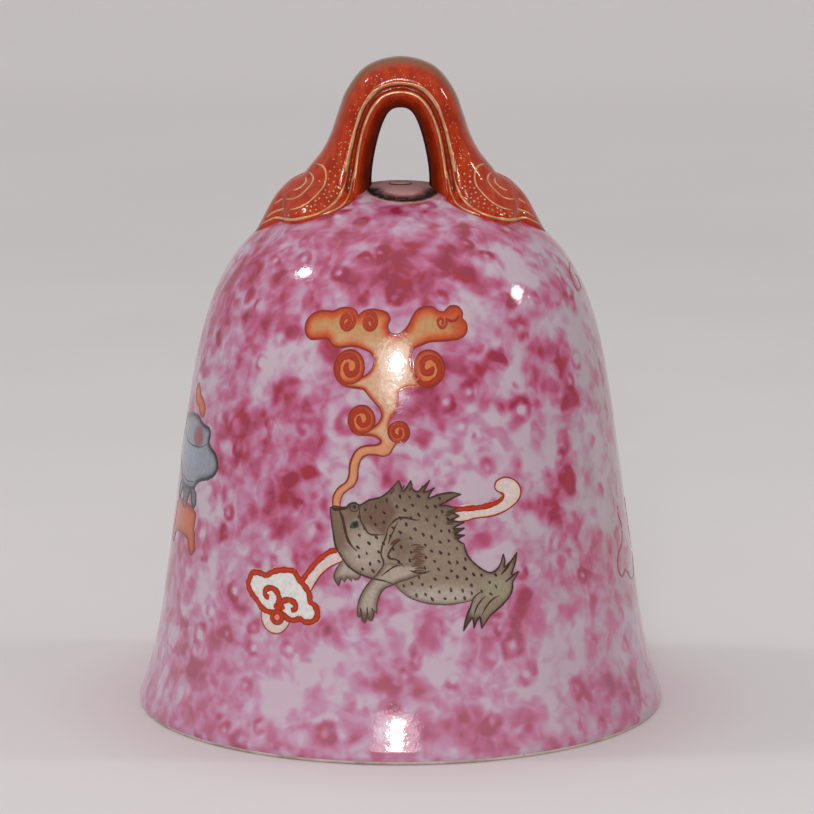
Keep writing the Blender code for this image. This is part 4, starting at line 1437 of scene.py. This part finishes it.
TOAD_BELLY_LINE = [
    (9.2, 24.75), (7.1, 24.55), (4.8, 24.75), (2.85, 25.2), (1.3, 25.9), (0, 26.9), (-0.8, 27.8),
]
TOAD_CHIN = [
    (-2.5, 28.4), (-4.2, 28.7), (-5.5, 29.1), (-6.7, 29.65), (-8, 30.6), (-8.9, 31.8), (-9.9, 33.3),
    (-10.4, 35.4), (-10.8, 37.4), (-11.1, 39.4),
]
TOAD_LEG = [(-2.5, 30.8), (-3.4, 29.5), (-4.6, 28.1), (-5.5, 26.8), (-6, 25.6), (-6.3, 24.3), (-6.35, 22.9)]
TOAD_FINGERS = [
    [(-6.0, 22.6), (-5.8, 23.1), (-5.6, 22.2), (-5.25, 21.7)],
    [(-4.95, 22.3), (-4.85, 22.8), (-4.6, 22.3), (-4.15, 22.1)],
    [(-3.9, 22.9), (-3.85, 23.6), (-3.6, 23.5), (-3.45, 23.3)],
]
TOAD_ARM = [
    (-3.4, 24.85), (-3.1, 26), (-2.5, 27.05), (-1.3, 27.7), (0, 28.3), (1.8, 28.9), (3.3, 29.5), (4, 29.75),
]
TOAD_ELBOW = [(2.6, 30.9), (0.6, 31.2), (-0.9, 31.1), (-1.9, 31.2), (-2.3, 31.2)]
TOAD_FOOT = [(-8.6, 32.0), (-9.1, 31), (-9.8, 29.8), (-10.05, 28.6), (-9.3, 27.2)]
TOAD_FOOT_TOES = [
    [(-9.1, 28.0), (-8.9, 28.5), (-8.4, 27.9)],
    [(-8.2, 28.5), (-7.9, 28.7), (-7.3, 28.1)],
]
TOAD_FOOT_BACK = [(-7.1, 28.6), (-6.7, 28.4), (-6.1, 28.8), (-6.0, 29.8), (-7.2, 31.0)]
TOAD_HEAD_PATCH = [
    (-6.2, 40.2), (-6.1, 37.5), (-5.5, 36.6), (-4.8, 35.6), (-2.3, 35.6), (-1.6, 37.2), (-0.5, 39),
    (-2, 41.4),
]
TOAD_FACE_PATCH = [
    (-11.3, 39.8), (-6.6, 40.4), (-6.4, 38.4), (-8.6, 37.0), (-8.3, 34.8), (-7, 33), (-10, 33), (-10.8, 36),
]
TOAD_INNER_LINES = [
    (0.42, rgb(74, 38, 26), [
        (-9.9, 39.5), (-9.3, 38.6), (-8.85, 37.35), (-8.5, 35.8), (-8.0, 34.5), (-7.3, 33.5), (-6.6, 32.9),
    ]),
    (0.5, rgb(70, 26, 20), [(-10.9, 39.5), (-10.2, 39.2), (-9.2, 39.4), (-8.2, 39.5)]),
    (0.3, rgb(82, 56, 42), [
        (-6.25, 40.0), (-6.35, 38.9), (-6.1, 37.6), (-5.5, 36.6), (-4.8, 35.65), (-3.6, 35.5), (-2.3, 35.6),
    ]),
    (0.3, TOAD_LINE, [(-1.9, 36.6), (-1.3, 37.35), (-0.35, 38.1), (0.8, 38.2), (2.5, 37.8), (3.0, 37.9)]),
    (0.2, TOAD_LINE, [(-1.8, 34.1), (-1.5, 35.2), (-1.1, 36), (-0.7, 36.9), (-0.3, 37.6)]),
    (0.26, TOAD_LINE, [
        (-1.9, 36.6), (-2.2, 35.2), (-2.75, 33.7), (-2.9, 32.4), (-2.5, 31.3), (-2.75, 30.4), (-3.3, 29.5),
    ]),
    (0.26, TOAD_LINE, [
        (0.2, 34.8), (-0.7, 34.2), (-1.4, 33.3), (-1.8, 32.4), (-1.7, 31.9), (-0.6, 31.7), (0.2, 31.0),
        (0.7, 30.5),
    ]),
    (0.24, TOAD_LINE, [(0.4, 30.9), (-0.9, 30.6), (-1.9, 29.9), (-2.9, 29.1)]),
    (0.5, rgb(92, 56, 40), [(0.0, 34.9), (-0.8, 34.5), (-1.5, 34.0)]),
    (0.34, rgb(76, 50, 36), [(1.4, 30.0), (2.4, 29.7), (3.6, 29.6), (4.5, 29.9)]),
    (0.26, TOAD_LINE, [(9.9, 33.6), (10.3, 32.2), (11.2, 30.9), (12.2, 29.95)]),
    (0.2, TOAD_LINE, [(10.7, 24.9), (11.2, 25.5), (11.8, 26.0), (12.4, 26.2)]),
    (0.24, TOAD_LINE, [(11.0, 22.6), (11.4, 23.8), (12.2, 24.9), (12.9, 25.5)]),
    (0.24, TOAD_LINE, [(12.2, 22.6), (13.0, 23.9), (14.0, 24.9), (15.2, 25.4)]),
    (0.3, TOAD_MAROON, [(15.6, 28.6), (16.4, 29.3), (17.3, 30.2)]),
    (0.28, TOAD_MAROON, [(16.2, 27.4), (17.1, 27.9), (18.1, 28.5)]),
    (0.2, TOAD_LINE, [(-5.9, 24.2), (-5.75, 23.4), (-5.7, 22.9)]),
    (0.2, TOAD_LINE, [(-4.9, 24.3), (-4.85, 23.5), (-4.85, 22.8)]),
    (0.2, TOAD_LINE, [(-4.2, 24.2), (-4.0, 23.6)]),
]


def toad_colour(points, depth):
    """Grey brown, darker on the head and along the back and edge, pale on belly, cheek and arm."""
    x, y = points[:, 0], points[:, 1]
    crook = step(np.hypot((x - 0.2) / 2.0, (y - 33.8) / 2.6), 1.2, 0.3)
    hatched = step(np.hypot((x - 2.6) / 1.2, (y - 31.6) / 2.6), 1.2, 0.4)
    cheek = step(np.hypot((x + 5.2) / 1.0, (y - 33.2) / 1.1), 4.0, 1.5)
    belly = step(y + 0.10 * np.abs(x - 6), 28.6, 26.2) * step(x, 12.6, 9.5)
    sole = step(np.hypot((x - 14.6) / 1.5, y - 26.6), 2.6, 0.6)
    toes = step(x + y * 0.9, 32.6, 30.4) * step(y, 25, 22)
    toes = np.maximum(toes, step(x * 0.8 + y, 43.6, 45.6) * step(x, 14.6, 16.4))
    colours = np.tile(TOAD_BODY, (len(points), 1))
    for tone, share in (
        (rgb(112, 92, 76), 0.75 * step(y + 0.35 * x, 36.5, 43.0)),
        (rgb(104, 84, 68), 0.6 * crook),
        (rgb(110, 78, 56), 0.6 * hatched),
        (TOAD_BROWN, 0.85 * patch_share(points, TOAD_HEAD_PATCH, 0.5)),
        (rgb(120, 94, 76), 0.8 * patch_share(points, TOAD_FACE_PATCH, 0.6)),
        (TOAD_BELLY, np.maximum(cheek * 0.75, belly)),
        (rgb(158, 150, 124), 0.7 * sole),
        (TOAD_MAROON, 0.85 * toes),
        (rgb(98, 76, 60), 0.55 * step(depth, 0.8, 0.05)),
    ):
        colours = toned(colours, tone, share)
    return colours


def arm_colour(points, depth):
    """The near foreleg: pale grey along its middle, brown at its edge and at the fingers."""
    colours = blend_colours(rgb(128, 108, 94), rgb(176, 162, 148), step(depth, 0.1, 0.9))
    return toned(colours, rgb(74, 44, 38), 0.6 * step(points[:, 1], 24.4, 22.6))


def foot_colour(points, depth):
    """The far foot, whose toes lie 5 mm higher than the near foreleg's fingers."""
    return arm_colour(points - (0, 5.0), depth)


def paint_toad(paint):
    """A spotted, spiny-backed beast that crouches and breathes the vapour out."""
    paint.wash(corners(TOAD_FOOT, *TOAD_FOOT_TOES, TOAD_FOOT_BACK, spacing=0.2), foot_colour, 0.035)
    toe_lines = [[TOAD_FOOT[-1], *TOAD_FOOT_TOES[0]], [TOAD_FOOT_TOES[0][-1], *TOAD_FOOT_TOES[1]]]
    for run in (TOAD_FOOT[1:], *toe_lines, TOAD_FOOT_BACK[:4]):
        paint.stroke(run, 0.2, rgb(84, 56, 50))

    upper_runs = [TOAD_HEAD_TOP, *TOAD_SPINES, TOAD_HIP, *TOAD_TUFTS, TOAD_HEEL, *TOAD_TOES, TOAD_SOLE]
    outline = corners(*upper_runs, TOAD_BELLY_LINE, TOAD_CHIN, spacing=0.2)
    paint.wash(outline, toad_colour, 0.045, 0.26)
    ends = (0.55, 0.55)
    paint.strokes(TOAD_CHIN[-1], upper_runs, 0.29, TOAD_LINE, 0.07, ends=ends)
    paint.strokes(TOAD_SOLE[-1], [TOAD_BELLY_LINE], 0.24, rgb(108, 78, 72), 0.07, ends=ends)
    paint.strokes(TOAD_BELLY_LINE[-1], [TOAD_CHIN], 0.29, TOAD_LINE, 0.07, ends=ends)

    arm_runs = [TOAD_LEG, *TOAD_FINGERS, TOAD_ARM, TOAD_ELBOW]
    paint.wash(corners(*arm_runs, spacing=0.2), arm_colour, 0.06, 0.26)
    arm_brush = {"width": 0.23, "colour": rgb(88, 62, 54), "lift": 0.085, "ends": (0.5, 0.5)}
    paint.stroke(TOAD_LEG, **arm_brush)
    paint.strokes(TOAD_LEG[-1], arm_runs[1:-1], **arm_brush)

    for width, colour, points in TOAD_INNER_LINES:
        paint.stroke(points, width, colour, 0.085, (0.3, 0.3))
    paint_toad_hair(paint)
    paint_toad_face(paint)
    paint_toad_spots(paint, outline, corners(*arm_runs))


# The fine hairs at the foot of each spine: where they start, how long they are and how far they rise.
SPINE_HAIRS = [(6.9, 38.7, 1.1, 0), (7.0, 37.4, 1.3, -0.1), (8.0, 35.9, 1.2, 0.05), (8.1, 35, 1.2, 0)]


def paint_toad_hair(paint):
    """The short hairs in the crook of the arm, at the shoulder and between the first spines."""

    def hair(points, width, colour):
        paint.stroke(points, width, colour, 0.085, (0.3, 0.3))

    for k in range(12):
        y = 29.9 + 0.36 * k
        left = 1.9 + 0.35 * math.sin(k * 2.1)
        hair([(left, y), (left + 0.8, y + 0.12), (left + 1.6, y + 0.02)], 0.24, rgb(98, 62, 42))
    for x, y, length, rise in SPINE_HAIRS:
        for k in range(4):
            left, low = x + 0.12 * k, y + 0.22 * (k - 1.5)
            middle = (left + length / 2, low + rise / 2 + 0.02)
            hair([(left, low), middle, (left + length, low + rise)], 0.16, rgb(64, 40, 28))
    for x, y in ((-1.6, 41.7), (0.0, 42.1), (1.3, 42.2), (2.9, 42.0)):
        hair([(x, y), (x + 0.4, y + 0.6), (x + 0.65, y + 1.2)], 0.26, rgb(84, 60, 46))


def paint_toad_face(paint):
    """The ringed eye on the brow, and the dark round ear below it."""
    paint.dab((-7.2, 39.7), (1.15, 0.85), rgb(96, 84, 66), 0.085, 14)
    paint.dab((-7.15, 39.72), (0.45, 0.5), rgb(30, 24, 20), 0.1)
    paint.stroke(circle((-7.2, 39.72), 0.72, 17), 0.16, TOAD_LINE, 0.1, closed=True)
    paint.dab((-7.1, 36.95), (1.75, 1.5), rgb(120, 128, 118), 0.085, 16)
    paint.dab((-7.05, 36.95), (1.35, 1.15), rgb(62, 66, 56), 0.1, 16)
    paint.dab((-7.0, 37.0), (0.75, 0.7), rgb(34, 34, 28), 0.11, 12)


def paint_toad_spots(paint, body, arm):
    """Dark spots strewn over the body, clear of its edge, the arm, the hairs and the face."""
    random = np.random.default_rng(SEED + 5)
    placed = []
    for _ in range(2600):
        spot = random.uniform((-8.2, 25.4), (15.0, 41.6))
        x, y = spot
        crowded = min((math.dist(spot, other) for other in placed), default=9) < 1.22
        if crowded or not patch_share(spot[None], body, 0.01)[0]:
            continue
        if edge_distance(spot[None], body)[0] < 0.55 or 1.7 < x < 3.7 and 29.4 < y < 34.3:
            continue
        if math.dist(spot, (-7.1, 36.95)) < 1.3 or x < -6.6 or patch_share(spot[None], arm, 0.01)[0]:
            continue
        placed.append(spot)
    for spot in placed:
        size = random.uniform(0.52, 0.8), random.uniform(0.34, 0.46)
        faded = random.uniform(0, 0.6) + 0.6 * (spot[1] < 28)
        tone = blend_colours(rgb(36, 26, 24), rgb(84, 68, 58), [min(faded, 1)])[0]
        paint.dab(spot, size, tone, 0.085, 8, turn=random.uniform(-1.4, -0.7))


CENSER_GREY = rgb(140, 146, 158)
CENSER_LINE = rgb(44, 44, 52)
FLAME = [
    (-1.0, 54.6), (0.2, 54.2), (1.3, 53.2), (2.9, 52.6), (4.0, 51.7), (4.5, 50.6), (3.6, 49.9), (2.4, 50.3),
    (1.2, 51.2), (-0.6, 51.8), (-1.6, 53.2),
]
CENSER_LEGS = [
    (3.2, 38.4), (4.6, 37.6), (4.9, 35.9), (3.9, 35.3), (3.1, 36.4), (2.2, 37.7), (1.2, 36.5), (0.9, 34.9),
    (0.0, 34.4),
]
CENSER_BODY = [
    (2.0, 49.5), (3.5, 49.0), (5.5, 48.6), (6.8, 48.5), (7.4, 47.7), (7.3, 46.3), (8.4, 45.5), (9.9, 44.8),
    (10.9, 43.2), (10.3, 41.8), (8.5, 40.8), (6.0, 40.1), (4.5, 39.4), (3.5, 38.4), (1.5, 38.0),
]
CENSER_STAND = [
    (5.2, 34.6), (5.4, 32.4), (6.0, 30.6), (6.4, 29.0), (5.4, 27.9), (4.4, 28.6), (3.4, 30.0), (1.2, 30.4),
]


def both_halves(half):
    """An outline from its right half and the mirror image of it."""
    right = np.asarray(half, float)
    return np.vstack([right, right[::-1] * (-1, 1)])


def censer_colour(points, depth):
    """Grey, bluer on the belly, with a red patch on the neck and a dark edge."""
    light = step(np.hypot(points[:, 0] / 2.6, points[:, 1] - 43.2), 2.6, 0.4)
    patch = step(np.hypot((points[:, 0] - 3.0) / 2.4, (points[:, 1] - 46.6) / 1.9), 1.15, 0.7)
    grey = blend_colours(CENSER_GREY, rgb(140, 158, 180), light)
    grey = toned(grey, rgb(140, 62, 72), 0.9 * patch)
    return toned(grey, rgb(70, 70, 80), 0.8 * step(depth, 1.1, 0.1))


def flame_colour(points, depth):
    return blend_colours(rgb(176, 66, 26), rgb(206, 110, 66), step(depth, 0, 0.9))


def stand_colour(points, depth):
    return blend_colours(rgb(160, 56, 18), rgb(202, 96, 44), step(depth, 0, 1.3))


def paint_censer(paint):
    """A grey tripod vessel with a flame above it, on an orange stand."""

    def outlined(outline, steps, colour, wash_lift, width, line, line_lift=0.06):
        curve = smooth_through(outline, steps, closed=True)
        paint.wash(curve, colour, wash_lift)
        paint.stroke(curve[::steps], width, line, line_lift, closed=True)

    outlined(FLAME, 6, flame_colour, 0.035, 0.26, rgb(176, 54, 26))
    paint.wash(evenly(both_halves(CENSER_LEGS), 0.3), (0.11, 0.115, 0.13), 0.03)
    paint.stroke(CENSER_LEGS, 0.4, CENSER_LINE)
    paint.stroke(np.array(CENSER_LEGS) * (-1, 1), 0.4, CENSER_LINE)
    outlined(both_halves(CENSER_BODY), 5, censer_colour, 0.045, 0.5, CENSER_LINE, 0.065)
    paint.stroke([(-7.2, 46.2), (-3, 45.0), (1, 44.8), (5, 45.3), (7.3, 46.3)], 0.2, CENSER_LINE, 0.065)
    paint.stroke([(-4, 39.4), (0, 38.9), (4, 39.4)], 0.2, CENSER_LINE, 0.065)
    outlined(both_halves(CENSER_STAND), 5, stand_colour, 0.035, 0.34, rgb(140, 42, 18))


RIBBONS = [
    (0.34, [
        (3.6, 73.3), (-0.2, 72.4), (-2.0, 71.0), (-1.9, 69.9), (0.6, 69.4), (2.6, 69.9), (3.4, 71.0),
        (2.0, 71.6),
    ]),
    (0.42, [
        (-2.0, 34.6), (-2.3, 33.3), (-1.1, 31.25), (-2.2, 28.6), (-4.6, 27.3), (-5.7, 25.5), (-4.6, 23.6),
        (-1.9, 24.1), (0.3, 22.2), (2.8, 21.7), (5.0, 22.6),
    ]),
    (0.34, [(6.5, 34.2), (7.6, 32.0), (6.8, 29.0), (8.8, 26.6), (8.0, 23.8), (5.6, 23.2), (5.0, 22.6)]),
]
FAN_LEAF = [
    (2.6, 40.0), (-2.2, 41.8), (-5.4, 45.4), (-6.6, 50.2), (-5.2, 55.6), (-1.4, 60.2), (3.2, 63.4),
    (7.4, 60.4), (10.4, 55.8), (11.4, 50.2), (10.2, 45.2), (7.0, 41.6),
]


def paint_ribbons(paint):
    """Fine red-brown knotted ribbons, as the painter gives to each of the precious things."""
    for width, ribbon in RIBBONS:
        paint.stroke(ribbon, width, rgb(152, 66, 54))


def fan_colour(points, depth):
    return blend_colours(rgb(120, 150, 170), rgb(214, 222, 222), step(depth, 0.1, 2.2))


def paint_fan(paint):
    """A leaf-shaped fan in pale blue with red ribs, tied with a ribbon."""
    leaf = smooth_through(FAN_LEAF, 7, closed=True)
    paint.wash(leaf, fan_colour)
    paint.stroke(leaf[::7], 0.5, RUYI_RED, closed=True, tint=rgb(150, 26, 10))
    paint.stroke([(2.9, 38.2), (2.5, 45.0), (2.4, 53.0), (3.1, 60.4)], 0.5, RUYI_RED, 0.07)
    for k in range(6):
        y = 43.4 + 2.9 * k
        reach = 5.4 - 0.32 * abs(k - 2) ** 1.6
        for side in (-reach, reach):
            rib = [(2.5, y - 1.4), (2.5 + side * 0.5, y + 0.3), (2.5 + side, y + 2.6)]
            paint.stroke(rib, 0.24, rgb(150, 60, 40), 0.07, ends=(0.9, 0.3))
    paint.stroke([(3.2, 40.2), (3.0, 33.0), (2.2, 27.0)], 0.9, rgb(196, 92, 40), 0.07, ends=(0.9, 0.7))
    paint.dab((2.7, 39.6), (2.0, 1.3), rgb(70, 120, 100), 0.09, 16)


# ---------------------------------------------------------------- stage, lights and camera


BACKDROP = [(-1600, 0), (700, 0), (940, 0), (1090, 40), (1170, 160), (1190, 420), (1190, 1100)]
BACKDROP_HALF_WIDTH = 1800
LAMP_TARGET = Vector((0, 0, 60))
CAMERA_TILT = 10.7455


def make_stage():
    """Paper that runs under the bell and curves up far behind it, past the views from every side."""
    curve = smooth_through(BACKDROP, 10)
    points = [(x, y, z) for x in (-BACKDROP_HALF_WIDTH, BACKDROP_HALF_WIDTH) for y, z in curve]
    count = len(curve)
    faces = [(k, k + 1, count + k + 1, count + k) for k in range(count - 1)]
    make_object("paper_backdrop", np.array(points) * MM, faces, [backdrop_paper()], smooth_angle=0)


def area_light(name, place, size, watts, colour):
    """A round lamp at a place in millimetres that faces the bell's middle; size is (width, height)."""
    data = bpy.data.lights.new(name, "AREA")
    data.shape = "ELLIPSE"
    data.size, data.size_y = size[0] * MM, size[1] * MM
    data.energy = watts
    data.color = colour
    lamp = bpy.data.objects.new(name, data)
    lamp.location = Vector(place) * MM
    lamp.rotation_euler = (LAMP_TARGET - Vector(place)).to_track_quat("-Z", "Y").to_euler()
    bpy.context.scene.collection.objects.link(lamp)


def make_lights():
    """A lamp by the camera with a glow round it, one high on each side, and soft light from all round."""
    area_light("front_lamp", (-35, -880, 365), (120, 110), 1.8, (1.0, 0.98, 0.96))
    area_light("front_glow", (-36, -900, 373), (330, 290), 1.15, (1.0, 0.98, 0.96))
    area_light("left_lamp", (-630, 0, 730), (140, 110), 1.2, (1.0, 0.97, 0.95))
    area_light("right_lamp", (790, -10, 550), (120, 90), 1.1, (1.0, 0.97, 0.95))
    world = bpy.data.worlds.new("room")
    world.use_nodes = True
    tree = world.node_tree
    place = tree.nodes.new("ShaderNodeTexCoord").outputs["Generated"]
    split = tree.nodes.new("ShaderNodeSeparateXYZ")
    tree.links.new(place, split.inputs[0])
    fade = tree.nodes.new("ShaderNodeMapRange")
    for socket, number in (("From Min", -0.1), ("From Max", 1.0), ("To Min", 0.40), ("To Max", 0.95)):
        fade.inputs[socket].default_value = number
    lean = tree.nodes.new("ShaderNodeMath")
    lean.operation = "MULTIPLY_ADD"
    lean.inputs[1].default_value = -0.22
    tree.links.new(split.outputs["X"], lean.inputs[0])
    tree.links.new(split.outputs["Z"], lean.inputs[2])
    tree.links.new(lean.outputs[0], fade.inputs["Value"])
    tree.nodes["Background"].inputs["Color"].default_value = (0.80, 0.79, 0.795, 1)
    tree.links.new(fade.outputs[0], tree.nodes["Background"].inputs["Strength"])
    bpy.context.scene.world = world


def make_camera():
    """A long lens a little above the bell's top, tilted down to it."""
    data = bpy.data.cameras.new("camera")
    data.lens = 201.15
    data.sensor_width = 36
    data.clip_start, data.clip_end = 0.05, 20
    camera = bpy.data.objects.new("camera", data)
    camera.location = (1.06 * MM, -730 * MM, 187.43 * MM)
    camera.rotation_euler = (math.radians(90 - CAMERA_TILT), 0, 0)
    bpy.context.scene.collection.objects.link(camera)
    bpy.context.scene.camera = camera


# ---------------------------------------------------------------- the scene

bpy.context.scene.view_settings.view_transform = "Standard"
shell_finishes = [rose_ground("mottled_rose_enamel"), white_glaze(), bare_porcelain()]
# a matt copy of the ground, for the crown's faces in the deepest painted shade
shell_finishes.append(rose_ground("painted_shade_rose_enamel", True))
carried(make_shell(shell_finishes), "bell_shell", "bell")
# the matt red is for the faces in the opening's painted shade
handle = make_handle(iron_red("iron_red_enamel"), iron_red("painted_shade_red_enamel", True))
carried(handle, "loop_handle", "bell")
make_gilding(handle, gilding())
iron = dark_iron()
# the pin's end carries painted shade like the crown round it
make_pin(iron, pin_end_shade())
make_clapper(iron, rosewood(), old_brass())
make_buffer(brown_leather())

enamel = painted_enamel()
BACK = math.pi * WRAP_R
for name, motifs in (
    ("painted_vapour", [(paint_vapour, 0.0, False), (paint_vapour, BACK, True)]),
    ("painted_ruyi", [(paint_ruyi, 0.0, False), (paint_ruyi, BACK, True)]),
    ("painted_toad", [(paint_toad, 0.0, False), (paint_toad, BACK, True)]),
    ("painted_censer", [(paint_censer, -45.5, False)]),
    ("painted_fan", [(paint_ribbons, 48.3, False), (paint_fan, 68.0, False)]),
):
    painting = Painting()
    for draw, across, mirror in motifs:
        painting.move(across, mirror)
        draw(painting)
    painting.finish(name, enamel)
make_stage()
make_lights()
make_camera()
